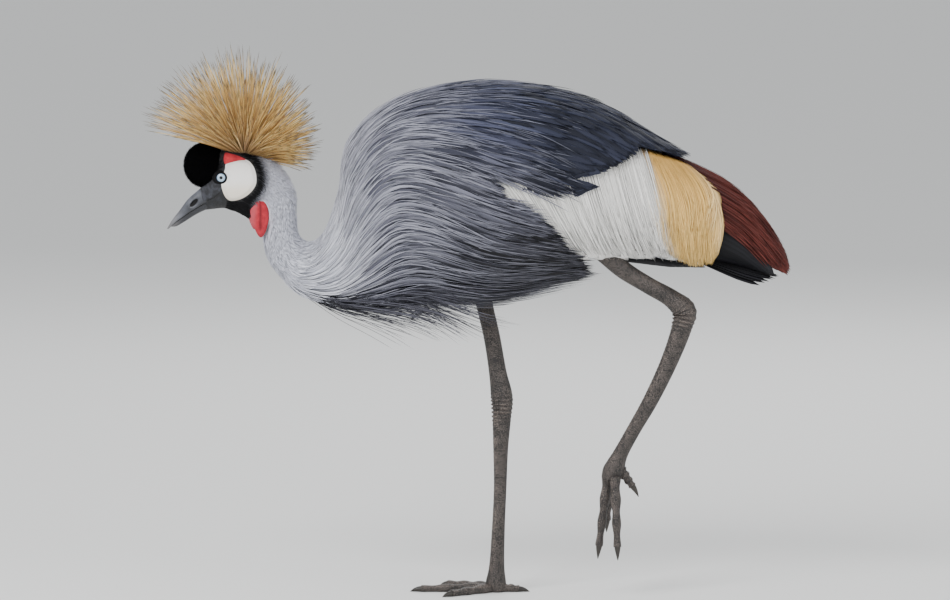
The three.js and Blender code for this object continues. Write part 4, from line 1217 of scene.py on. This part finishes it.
def addShoulders():
    random = np.random.default_rng(51)
    s, a = rootGrid(random, shoulder["span"], shoulder["gaps"], angleTo=shoulder["lowest"])
    front = np.abs(a) < np.interp(s, shoulder["sections"], shoulder["angles"])
    s, a = s[front], a[front]
    length = random.uniform(*shoulder["long"], len(s))
    share = shareBefore(s, a, length, shoulderBend, random.normal(0.6, 1.2, len(s)))
    keep = (share > shoulder["shortestShare"]) & (length * share > shoulder["shortest"])
    s, a, length = s[keep], a[keep], (length * share)[keep]
    half = random.uniform(*shoulder["half"], len(s))
    bundle = formVanes(
        random, s, a, length, half, 10, shoulder["tipLift"], pointShape, rough=0.8, columns=7,
        thick=0.4, curve=0.3, cup=0.04, bend=shoulderBend, rootLift=shoulder["rootLift"],
        colours=shoulder["navy"],
    )
    addPiece("shoulder_feathers", bundle, shoulderMaterial, "body_feathers", "torso")


# Vanes along lines of their own, off the form
def freeVanes(random, middle, out, half, shape, thick, columns, colours, root, cup=0.0):
    share = np.linspace(0, 1, middle.shape[1])
    rings, tips = vaneRingsFree(middle, out, half, shape(share[:-1]), thick, columns, cup)
    pale, dark = (np.tile(colour, (len(middle), 1)) for colour in colours)
    return vaneBundle(rings, tips, share[:-1], pale, dark, random.uniform(0, 1, len(middle)), root)


# Loose strands that hang from the base of the neck
wisps = {
    "count": 300, "span": (4.6, 6.4), "angles": (2.45, 3.0), "long": (110, 190), "drop": (10, 62),
    "half": (0.5, 1.1), "colours": (srgb(124, 124, 138), srgb(22, 22, 28)),
}


def addWisps():
    random = np.random.default_rng(61)
    count = wisps["count"]
    s = random.uniform(*wisps["span"], count)
    a = random.choice((-1, 1), count) * random.uniform(*wisps["angles"], count)
    length = random.uniform(*wisps["long"], count)
    sections, angles = flowLines(s, a, length, 10, noBend)
    share = np.linspace(0, 1, 10)
    middle = formPoint(sections, angles, -3 + 4 * share[None, :])
    middle[..., 2] -= random.uniform(*wisps["drop"], count)[:, None] * share ** 1.6
    middle[..., 1] += random.normal(0, 4, count)[:, None] * share ** 2
    out = np.stack([0 * a, np.sin(a), np.cos(a)], -1)[:, None, :]
    half = random.uniform(*wisps["half"], count)
    bundle = freeVanes(random, middle, out, half, slimShape, 0.3, 3, wisps["colours"], (s, a))
    addPiece("wisps", bundle, plumeMaterial, "neck_plumes", "neck_lower")


addHeadFeathers()
addNeckFeathers()
addMantle()
addBelly()
addShoulders()
addWisps()
print("coat ready")


# Wings: a folded wing under rows of vanes, each from one line on the form to another
wing = {
    "slab": {"from": 8.8, "to": 11.1, "low": -25, "front": -20, "high": -16, "top": 1.26, "end": 2.25},
    "white": (srgb(252, 251, 248), srgb(236, 234, 230)),
    "gold": (srgb(255, 226, 150), srgb(240, 190, 104)),
    "chestnut": (srgb(122, 58, 50), srgb(46, 18, 18)),
    "black": (srgb(40, 40, 46), srgb(8, 8, 10)),
    "grey": (srgb(232, 232, 232), srgb(176, 176, 182)),
    "chestnutCount": 16, "looseCount": 420, "blackCount": 13, "whiteCount": 780, "goldCounts": (160, 1420),
}


def routedVanes(random, side, starts, ends, lifts, half, stations, shape, columns, thick, colours,
                bow=0.0, cup=0.0, curve=0.55):
    share = np.linspace(0, 1, stations + 1)
    starts, ends = np.asarray(starts, float), np.asarray(ends, float)
    s = mixed(starts[:, :1], ends[:, :1], share) + bow * np.sin(pi * share)
    a = side * mixed(starts[:, 1:2], ends[:, 1:2], share)
    lifts = np.asarray(lifts, float)
    lift = lifts[:, :1] + (lifts[:, 1:2] - lifts[:, :1]) * share[None, :] ** curve
    half = np.broadcast_to(np.asarray(half, float), (len(s),))
    rings, tips = vaneRingsOnForm(s, a, lift, half, shape(share[:-1]), thick, columns, cup)
    pale, dark = (np.tile(colour, (len(s), 1)) for colour in colours)
    tint = random.uniform(0, 1, len(s))
    return vaneBundle(rings, tips, share[:-1], pale, dark, tint, (s[:, 0], a[:, 0]))


def makeSlab(side):
    given = wing["slab"]
    stations = np.linspace(given["from"], given["to"], 30)
    top = mixed(given["top"], 0.25, smoothStep(10, 10.8, stations))
    end = mixed(1.8, given["end"], smoothStep(given["from"], given["from"] + 0.8, stations))
    across = np.linspace(0, 1, 24)
    turns = side * mixed(top[:, None], end[:, None], across[None, :])
    s = stations[:, None] + 0 * turns
    high = mixed(given["front"], given["high"], smoothStep(given["from"], given["from"] + 0.8, s))
    rings = np.concatenate([formPoint(s, turns, high), formPoint(s, turns, given["low"])[:, ::-1]], axis=1)
    bundle = gridBundle(rings)
    count = len(bundle["vertices"])
    bundle["along"] = np.full(count, 0.5)
    bundle["across"] = np.zeros(count)
    bundle["tint"] = np.full(count, 0.4)
    pale, dark = wing["white"]
    # painted shade: the slab under the coverts takes the white darkened to 0.8 and 0.7
    bundle["pale"] = np.tile(pale * 0.8, (count, 1))
    bundle["dark"] = np.tile(dark * 0.7, (count, 1))
    uv = rootPatch(s, turns)
    bundle["uv"] = ended(np.concatenate([uv, uv[:, ::-1]], axis=1))
    return bundle


def whiteCoverts(random, side):
    bundles = []
    rows = [
        (8.5, 1.15, 9.92, 2.50, 1.45, 17, 12.0, -5.8), (8.4, 1.05, 9.55, 2.06, 1.80, 20, 11.0, -5.4),
        (8.3, 0.95, 9.15, 1.68, 2.10, 23, 10.0, -4.6),
    ]
    for s0, a0, s1, a1, spread, count, half, tip in rows:
        place = (np.arange(count) + random.uniform(-0.2, 0.2, count)) / (count - 1)
        starts = np.column_stack([s0 + 2.5 * place, a0 - 0.3 * place])
        ends = np.column_stack([s1 + spread * place, a1 + 0.2 * place + random.normal(0, 0.05, count)])
        lifts = np.column_stack([np.full(count, -15.0), tip - 2.6 * place])
        halves = half * random.uniform(0.92, 1.08, count)
        bundles.append(routedVanes(
            random, side, starts, ends, lifts, halves, 18, broadShape, 9, 0.18, wing["white"], curve=0.27,
        ))
    return bundles


# Lines where the feathers of the wing end: section and angle at even shares, or at the shares given
edges = {
    "white": {"share": [0, 0.3, 0.6, 1], "places": [(9.5, 2.0), (9.95, 2.45), (10.4, 2.58), (11.15, 2.65)]},
    "gold": {"places": [(10.84, 2.2), (11.08, 2.5), (11.36, 2.75), (11.58, 2.55), (11.64, 2.2)]},
    "chestnut": {"places": [(12.45, 0.05), (12.74, 0.3), (12.9, 0.9), (12.9, 1.4), (12.5, 2.0)]},
    "black": {"places": [(12.7, 2.0), (12.62, 2.25), (12.5, 2.5), (12.25, 2.8), (11.9, 2.95)]},
}


def edgePlaces(name, share):
    places = np.array(edges[name]["places"])
    known = edges[name].get("share", np.linspace(0, 1, len(places)))
    return np.column_stack([np.interp(share, known, places[:, k]) for k in range(2)])


def whiteStrands(random, side, count):  # fine strands over the coverts
    share = random.uniform(0, 1, count)
    starts = np.column_stack([8.4 + 2.3 * share, 1.0 - 0.3 * share + random.normal(0, 0.1, count)])
    ends = starts + (edgePlaces("white", share) - starts) * random.uniform(0.5, 1.0, count)[:, None]
    lifts = np.column_stack([np.full(count, -9.0), random.uniform(-5.2, -3.0, count)])
    half = random.uniform(0.5, 1.1, count)
    return routedVanes(
        random, side, starts, ends, lifts, half, 11, slimShape, 3, 0.2, wing["white"], curve=0.3,
    )


def goldStrands(random, side, count, halves, thick, lower=0.0):
    share = random.uniform(0, 1, count)
    reach = 1 - 0.4 * random.uniform(0, 1, count) ** 2
    starts = np.column_stack([10.45 + 0.8 * share, 0.75 - 0.5 * share + random.normal(0, 0.03, count)])
    ends = starts + (edgePlaces("gold", share) - starts) * reach[:, None]
    sunk = 3.5 * (1 - smoothStep(0, 0.5, share)) + lower
    lifts = np.column_stack([-9.0 - 0.5 * sunk, random.uniform(-3.6, 0.4, count) - sunk])
    bow = (0.02 + 0.18 * share + random.normal(0, 0.015, count))[:, None]
    half = random.uniform(*halves, count)
    bundle = routedVanes(random, side, starts, ends, lifts, half, 15, slimShape, 3, thick, wing["gold"], bow)
    perVane = len(bundle["tint"]) // count
    creamy = np.repeat(1 - smoothStep(0.06, 0.34, share + random.normal(0, 0.05, count)), perVane)
    ivory = np.repeat(0.15 * smoothStep(0.85, 1.0, share), perVane)
    for key, pure in (("pale", wing["white"][0]), ("dark", wing["white"][1])):
        bundle[key] = mixedColour(bundle[key], pure, np.maximum(creamy, ivory))
    return bundle


def chestnutFeathers(random, side):
    count = wing["chestnutCount"]
    share = np.arange(count) / (count - 1)
    starts = np.column_stack([10.9 + 0.2 * share, 0.06 + 1.2 * share])
    ends = edgePlaces("chestnut", share)
    lifts = np.column_stack([-17 - 0.2 * np.arange(count), -0.8 - 0.45 * np.arange(count)])
    broad = routedVanes(
        random, side, starts, ends, lifts, 9.0, 14, broadShape, 9, 0.8, wing["chestnut"], cup=0.12,
    )
    count = wing["looseCount"]
    share = random.uniform(0, 1, count)
    starts = np.column_stack([10.9 + 0.25 * share, 0.05 + 1.25 * share])
    ends = starts + (edgePlaces("chestnut", share) - starts) * random.uniform(0.5, 1.0, count)[:, None]
    lifts = np.column_stack([np.full(count, -16.0), random.uniform(-3, 0.6, count) - 3 * share])
    half = random.uniform(0.9, 1.8, count)
    loose = routedVanes(random, side, starts, ends, lifts, half, 9, slimShape, 3, 0.4, wing["chestnut"])
    return [broad, loose]


def blackFeathers(random, side):
    count = wing["blackCount"]
    share = np.arange(count) / (count - 1)
    starts = np.column_stack([10.9 - 0.25 * share, 1.5 + 0.7 * share])
    ends = edgePlaces("black", share)
    lifts = np.column_stack([-17 - 0.2 * np.arange(count), -6 - 0.4 * np.arange(count)])
    under = np.linspace(0, 1, 5)[:, None]  # a few that show below the white, by the thigh
    starts = np.vstack([starts, np.hstack([10.1 + 0.4 * under, 2.5 + 0 * under])])
    ends = np.vstack([ends, np.hstack([11.1 + 0.4 * under, 2.9 + 0.12 * under])])
    lifts = np.vstack([lifts, np.hstack([-15 - under, -3.5 - under])])
    return routedVanes(random, side, starts, ends, lifts, 8.5, 12, broadShape, 7, 0.8, wing["black"], cup=0.1)


def greyFeathers(random, side):
    starts = [(10.2, 2.0), (10.4, 1.95), (10.6, 1.9)]
    ends = [(10.95, 2.85), (11.2, 2.95), (11.4, 2.9)]
    lifts = [(-17, -8), (-17, -7), (-17, -6.5)]
    return routedVanes(random, side, starts, ends, lifts, 13.0, 12, broadShape, 9, 0.7, wing["grey"], cup=0.1)


wingPattern = {
    "Edge Start": 0.5, "Edge Share": -0.25, "Tip Share": 0.5, "Tint Share": 0.3, "Barbs": 60.0, "Slant": 7.0,
    "Barb Share": 0.22, "Root Shade": 0.7,
}
wingMaterial = featherMaterial("wingFeathers", wingPattern, softFinish, 0.00025)
whitePattern = {
    "Edge Share": 0.0, "Tip Share": 0.3, "Tint Share": 0.3, "Barbs": 60.0, "Slant": 7.0, "Barb Share": 0.2,
    "Root Shade": 0.86,
}
whiteMaterial = featherMaterial("whiteFeathers", whitePattern, softFinish, 0.0001)
for side, label in ((-1, "left"), (1, "right")):
    random = np.random.default_rng(71 + side)
    node = "wing_" + label
    base = [makeSlab(side), *whiteCoverts(random, side), greyFeathers(random, side)]
    addPiece(node, joinedBundle(base), whiteMaterial, "wing_feathers", node)
    rear = [*chestnutFeathers(random, side), blackFeathers(random, side)]
    addPiece("rear_feathers_" + label, joinedBundle(rear), wingMaterial, "wing_feathers", node)
    broad, fine = wing["goldCounts"]
    gold = [
        goldStrands(random, side, broad, (4.0, 6.0), 0.2, 1.8),
        goldStrands(random, side, fine, (0.35, 0.75), 0.25),
    ]
    white = whiteStrands(random, side, wing["whiteCount"])
    addPiece("white_strands_" + label, white, whiteMaterial, "wing_feathers", node)
    addPiece("gold_plumes_" + label, joinedBundle(gold), wingMaterial, "wing_feathers", node)


# Tail: broad black feathers in a shallow fan
tail = {
    "root": (208, 12, 401), "tip": (347, 24, 355), "sag": 6, "sweep": 22, "bow": 1,
    "count": 15, "half": 11, "layer": 2.2,
}


def addTail():
    random = np.random.default_rng(81)
    count = tail["count"]
    across = np.linspace(-1, 1, count)[:, None]
    share = np.linspace(0, 1, 15)[None, :]
    layer = tail["layer"] * (1 - np.abs(across)) + 0.5 * (np.arange(count) % 2)[:, None]
    rootX, rootY, rootZ = tail["root"]
    tipX = tail["tip"][0] - tail["sweep"] * across ** 2
    tipY = tail["tip"][1] * across
    tipZ = tail["tip"][2] - tail["sag"] * across ** 2 + layer
    middle = np.stack([
        mixed(rootX, tipX, share),
        mixed(rootY * across, tipY, share),
        mixed(rootZ, tipZ, share) - tail["bow"] * np.sin(pi * share),
    ], axis=-1)
    out = unit(np.stack([0.4 + 0 * across, 0.25 * across, 0.9 + 0 * across], axis=-1))
    bundle = freeVanes(
        random, middle, out, np.full(count, tail["half"]), broadShape, 0.8, 9, wing["black"],
        (np.full(count, 11.5), 0.4 * across[:, 0]), cup=0.08,
    )
    addPiece("tail", bundle, wingMaterial, "tail_feathers", "tail")


addTail()


# Crest: stiff golden bristles that fan out from a pad on the crown
crest = {
    "pad": (-252, 0, 493), "padHalves": (18, 12.5, 8), "count": 4200, "thick": 0.42, "droop": 0.1,
    "angles": [-25, 0, 18, 60, 95, 140, 175], "reach": [60, 70, 86, 118, 146, 130, 114],
    "lowest": -0.4, "back": -0.55, "front": 0.33,  # how low the bristles point
    "spread": 0.035, "darkTip": (0.84, 0.92), "colours": (srgb(246, 214, 138), srgb(176, 128, 66)),
}
crestPattern = {
    "Edge Share": 0.1, "Tip Share": 0.5, "Tint Share": 0.9, "Barbs": 30.0, "Slant": 0.0, "Root Shade": 0.62,
}


def addCrest():
    random = np.random.default_rng(91)
    pad = gridBundle(ballRings(crest["pad"], crest["padHalves"], 24, 32))
    dark = bareMaterial("crestPad", srgb(10, 9, 8), srgb(30, 25, 18), 1200.0, 0.2, {"Roughness": 0.9})
    addPiece("crest_pad", pad, dark, "crest_bristles", "crest")
    direction = spherePoints(crest["count"])
    direction = direction[direction[:, 2] > crest["lowest"]]
    x, y, z = direction.T
    lowest = np.where(x > 0, crest["back"] * x, crest["front"])
    direction = direction[z >= np.maximum(lowest, 0.55 * np.abs(y) - 0.2)]
    x, y, z = direction.T
    count = len(direction)
    plane = np.degrees(np.arctan2(z, x))
    reach = np.interp(plane, crest["angles"], crest["reach"]) * (0.92 - 0.23 * y * y)
    length = reach * (1 - 0.34 * random.uniform(0, 1, count) ** 1.5)
    halves = np.array(crest["padHalves"])
    root = np.array(crest["pad"]) + 0.8 * halves * np.stack([x, y, np.maximum(0.25, z)], -1)
    root[:, 2] -= 7 * np.clip(x, 0, 1) ** 2
    lean = direction + random.normal(0, crest["spread"], direction.shape)
    lean[:, 2] += 0.5 * crest["droop"]
    lean = unit(lean)
    share = np.append(np.linspace(0, 0.93, 11), 1.0)[None, :, None]
    middle = root[:, None, :] + lean[:, None, :] * length[:, None, None] * share
    curl = random.normal(0, crest["spread"], (count, 1, 3)) * length[:, None, None]
    middle += curl * share ** 2
    middle[..., 2] -= crest["droop"] * length[:, None] * share[..., 0] ** 2
    turn = random.uniform(0, 2 * pi, count)
    out = np.stack([0.3 * np.cos(turn), np.sin(turn), np.cos(turn)], -1)[:, None, :]
    half = crest["thick"] * random.uniform(0.75, 1.25, count)
    places = (random.uniform(-2.6, -1.2, count), 0.3 * y)
    bundle = freeVanes(random, middle, out, half, bristleShape, 0.4, 3, crest["colours"], places)
    darkening = 1 - 0.88 * smoothStep(*crest["darkTip"], bundle["along"])[:, None]
    bundle["pale"] = bundle["pale"] * darkening
    bundle["dark"] = bundle["dark"] * darkening
    material = featherMaterial("crestBristles", crestPattern, {"Roughness": 0.45, "Sheen Weight": 0.1})
    addPiece("crest", bundle, material, "crest_bristles", "crest")


addCrest()
print("wings, tail and crest ready")


# Legs: scutes down the front of the tarsus, small scales elsewhere, toes with pads and claws
legs = {
    "standing": [
        [0, 36, 400, 15, 13], [9.5, 31, 358, 11, 10], [16.2, 27, 325, 9.5, 8.5], [25.2, 21, 286, 9.3, 8],
        [31.9, 16, 246, 10, 8.6], [36.4, 12, 218, 12.3, 11], [36.4, 10, 196, 10.4, 9], [35.3, 7, 162, 8.3, 7],
        [34.7, 4, 118, 7, 6.4], [32.5, 2, 67, 7.2, 6.4], [30.8, 0.5, 28, 8.6, 8], [29.7, 0, 9, 11.5, 11],
        [29.7, 0, 1, 10, 10],
    ],
    "lifted": [
        [122, -30, 413, 16, 13], [147, -30, 389.5, 11.5, 11], [171, -32, 368, 10.2, 10],
        [200, -35, 350, 9.5, 9], [226, -35, 335, 10.5, 10], [240, -35, 321, 13.5, 11],
        [238, -35, 305, 11.5, 9.5],
        [224.6, -35, 267, 9.6, 8], [203, -35, 221, 8.4, 7], [182, -35, 184, 7.6, 6.8],
        [168.6, -35, 159, 8.4, 8], [161, -35, 141, 12, 11], [157, -35, 131, 10, 10],
    ],
    "toeThick": 5.2, "toeFlesh": 1.14, "scuteLength": 5.0,
    "creaseHeight": 1.3, "creaseLength": 4.6, "creaseReach": 13,
    "standingToes": {"middle": (84, 0), "inner": (64, -38), "outer": (68, 38), "hind": (26, 180)},
    "liftedToes": {
        "middle": ([155, -35, 136], [145.3, -35, 57]), "outer": ([163, -42, 135], [165.5, -55, 58]),
        "inner": ([157, -29, 134], [154.5, -16, 84]), "hind": ([170, -34, 142], [182.5, -31, 124]),
    },
    "clawLength": 12.3,
}


def limbRings(rows, gap, columns, front=(-1, 0, 0.2)):
    table = splineTable(rows, 40)
    walked = lengthAlong(table[:, :3])
    count = int(walked[-1] / gap) + 2
    places = np.linspace(0, walked[-1], count)
    table = np.stack([np.interp(places, walked, table[:, k]) for k in range(table.shape[1])], axis=1)
    centre = table[:, :3]
    along = unit(np.gradient(centre, axis=0))
    side = unit(np.cross(along, np.asarray(front, float)))
    forward = np.cross(side, along)
    turns = 2 * pi * np.arange(columns) / columns
    radial = forward[:, None, :] * np.cos(turns)[None, :, None] * table[:, 3, None, None]
    radial = radial + side[:, None, :] * np.sin(turns)[None, :, None] * table[:, 4, None, None]
    return centre, radial, places, turns


def scuteRise(walked, turns, length, frontHalf, height):  # overlapping plates down the front
    phase = (walked / length) % 1.0
    plate = smoothStep(0, 0.16, phase) * (0.55 + 0.45 * phase) * (1 - smoothStep(0.93, 1.0, phase))
    front = 1 - smoothStep(frontHalf * 0.8, frontHalf * 1.1, np.abs((turns + pi) % (2 * pi) - pi))
    return height * plate[:, None] * front[None, :]


def limbBundle(rows, gap, columns, scutes, floor=False, front=(-1, 0, 0.2)):
    centre, radial, walked, turns = limbRings(rows, gap, columns, front)
    rise = scuteRise(walked, turns, scutes["length"], scutes["frontHalf"], scutes["height"])
    strength = np.ones(len(walked))
    if "between" in scutes:
        low, high = scutes["between"]
        z = centre[:, 2]
        strength = smoothStep(low - 4, low + 4, z) * (1 - smoothStep(high - 4, high + 4, z))
    rise = rise * strength[:, None]
    if "ankle" in scutes:  # creases across the front of the ankle
        near = np.exp(-((centre[:, 2] - scutes["ankle"]) / legs["creaseReach"]) ** 2)
        ripple = legs["creaseHeight"] * np.sin(2 * pi * walked / legs["creaseLength"]) * near
        front = 0.35 + 0.65 * (0.5 + 0.5 * np.cos(turns))
        rise = rise + ripple[:, None] * front[None, :]
    rings = centre[:, None, :] + radial + unit(radial) * rise[..., None]
    if floor:  # the sole lies flat on the floor
        flattened = 0.05 + 0.12 * np.maximum(rings[..., 2] + 3, 0)
        rings[..., 2] = np.where(rings[..., 2] < 0.4, flattened, rings[..., 2])
        rings[..., 2] = np.maximum(rings[..., 2], 0.05)
    bundle = gridBundle(rings)
    bundle["groove"] = ended(np.clip(1 - rise / max(scutes["height"], 0.01), 0, 1))
    return bundle


def toeParts(start, end, joints=3):
    start, end = np.asarray(start, float), np.asarray(end, float)
    share = np.linspace(0, 1, 25)
    thick = legs["toeThick"] * legs["toeFlesh"] * (0.99 + 0.13 * np.cos(2 * pi * joints * share))
    thick = thick * (1 - 0.35 * share)
    rows = np.column_stack([mixed(start, end, share[:, None]), thick, 1.1 * thick])
    heading = unit(end - start)
    deep, wide = rows[-1, 3], rows[-1, 4]
    claw = []
    shape = [  # place along the claw, drop, depth and width
        (-0.35, 0, 0.7, 0.66), (0, 0, 0.8, 0.74), (0.25, 0.0, 0.72, 0.62),
        (0.55, 0.12, 0.52, 0.44), (0.8, 0.34, 0.3, 0.26), (1, 0.6, 0.09, 0.09),
    ]
    for part, drop, deepShare, wideShare in shape:
        place = end + heading * legs["clawLength"] * part
        claw.append([place[0], place[1], place[2] - drop * deep, deep * deepShare, wide * wideShare])
    return rows, np.array(claw)


def makeLegMaterial():
    material, tree, shader = newMaterial("legScales", {"Roughness": 0.55})
    relief = placeGroup(tree, surfaceGroup, Scale=620.0, Cells=0.75)
    share = mathNode(tree, "MULTIPLY", relief.outputs["Height"], 0.7)
    share = mathNode(tree, "ADD", share, mathNode(tree, "MULTIPLY", relief.outputs["Shade"], 0.3))
    colour = mixNode(tree, rangeNode(tree, share, 0.32, 0.85), srgb(18, 15, 14), srgb(122, 110, 103))
    share = mathNode(tree, "MULTIPLY", markNode(tree, "groove"), 0.5)
    colour = mixNode(tree, share, colour, srgb(24, 21, 20))
    tree.links.new(colour, shader.inputs["Base Color"])
    addBump(tree, shader, relief.outputs["Height"], 0.0005, 0.7)
    return material


def makeLeg(side, rows, toes, tarsus, floor, legMaterial, clawMaterial):
    shank = {
        "length": legs["scuteLength"], "frontHalf": 1.25, "height": 0.55,
        "between": tarsus, "ankle": tarsus[1] + 6,
    }
    parts = [limbBundle(rows, 0.8, 44, shank, floor)]
    for name, (start, end) in toes.items():
        toeRows, clawRows = toeParts(start, end)
        plates = {"length": 3.4, "frontHalf": 1.2, "height": 0.35}
        up = (0, 0, 1) if floor else (-0.9, 0, 0.3)
        parts.append(limbBundle(toeRows, 0.6, 32, plates, floor, up))
        smooth = {"length": 50.0, "frontHalf": 1.0, "height": 0.0}
        claw = limbBundle(clawRows, 0.4, 24, smooth, floor, up)
        label = "claw_" + side + "_" + name
        addPiece(label, claw, clawMaterial, "claw", label)
    nodes = ("leg_" + side + "_upper", "leg_" + side + "_lower", "foot_" + side)
    addPiece("leg_" + side, joinedBundle(parts), legMaterial, "leg_scales", *nodes)


def addLegs():
    legMaterial = makeLegMaterial()
    horn = {"Roughness": 0.4}
    clawMaterial = bareMaterial("clawHorn", srgb(26, 23, 21), srgb(58, 52, 46), 700.0, 0.0, horn)
    x, y = legs["standing"][-1][:2]
    low = legs["toeThick"]
    planted = {}
    for name, (length, angle) in legs["standingToes"].items():
        turn = math.radians(angle)
        end = [x - length * math.cos(turn), y + length * math.sin(turn), 0.59 * low]
        planted[name] = ([x, y, 0.98 * low], end)
    makeLeg("right", legs["standing"], planted, (24, 200), True, legMaterial, clawMaterial)
    makeLeg("left", legs["lifted"], legs["liftedToes"], (150, 308), False, legMaterial, clawMaterial)


addLegs()
print("legs ready")


# Floor, soft studio light and the camera at the photo's angle
studio = {
    "target": (0.0062, 0, 0.33), "distance": 10.0, "lens": 338.0, "floorSize": 60.0,
    "lights": {  # place, aim, size and power
        "key": ((-1.3, -2.0, 2.3), (0, 0, 0.4), 1.4, 90),
        "fill": ((2.2, -1.8, 1.3), (0, 0, 0.35), 2.0, 30),
        "back": ((0.5, 2.4, 2.0), (0, 0, 0.4), 1.6, 34),
    },
    "air": (0.96, 0.98, 1.0, 1), "airStrength": 0.8,
}


def makeFloor():
    mesh = bpy.data.meshes.new("floor")
    half = studio["floorSize"] / 2
    corners = [(-half, -half, 0), (half, -half, 0), (half, half, 0), (-half, half, 0)]
    mesh.from_pydata(corners, [], [(0, 1, 2, 3)])
    floor = bpy.data.objects.new("floor", mesh)
    bpy.context.scene.collection.objects.link(floor)
    material = newMaterial("paleFloor", {"Roughness": 0.9, "Base Color": (0.78, 0.78, 0.77, 1)})[0]
    mesh.materials.append(material)


def addLight(name, place, aim, size, power):
    data = bpy.data.lights.new(name, "AREA")
    data.size = size
    data.energy = power
    light = bpy.data.objects.new(name, data)
    bpy.context.scene.collection.objects.link(light)
    light.location = place
    towards = np.array(aim, float) - np.array(place, float)
    light.rotation_euler = (
        math.atan2(math.hypot(towards[0], towards[1]), -towards[2]),
        0,
        math.atan2(towards[1], towards[0]) - pi / 2,
    )


def makeStudio():
    makeFloor()
    for name, given in studio["lights"].items():
        addLight(name, *given)
    world = bpy.data.worlds.new("studioAir")
    world.use_nodes = True
    air = world.node_tree.nodes["Background"]
    air.inputs["Color"].default_value = studio["air"]
    air.inputs["Strength"].default_value = studio["airStrength"]
    bpy.context.scene.world = world
    data = bpy.data.cameras.new("camera")
    data.lens = studio["lens"]
    data.clip_end = 200
    camera = bpy.data.objects.new("camera", data)
    bpy.context.scene.collection.objects.link(camera)
    x, y, z = studio["target"]
    back = studio["distance"]
    camera.location = (x, y - back * math.cos(viewAngle), z + back * math.sin(viewAngle))
    camera.rotation_euler = (pi / 2 - viewAngle, 0, 0)
    bpy.context.scene.camera = camera


makeStudio()


print("studio ready")
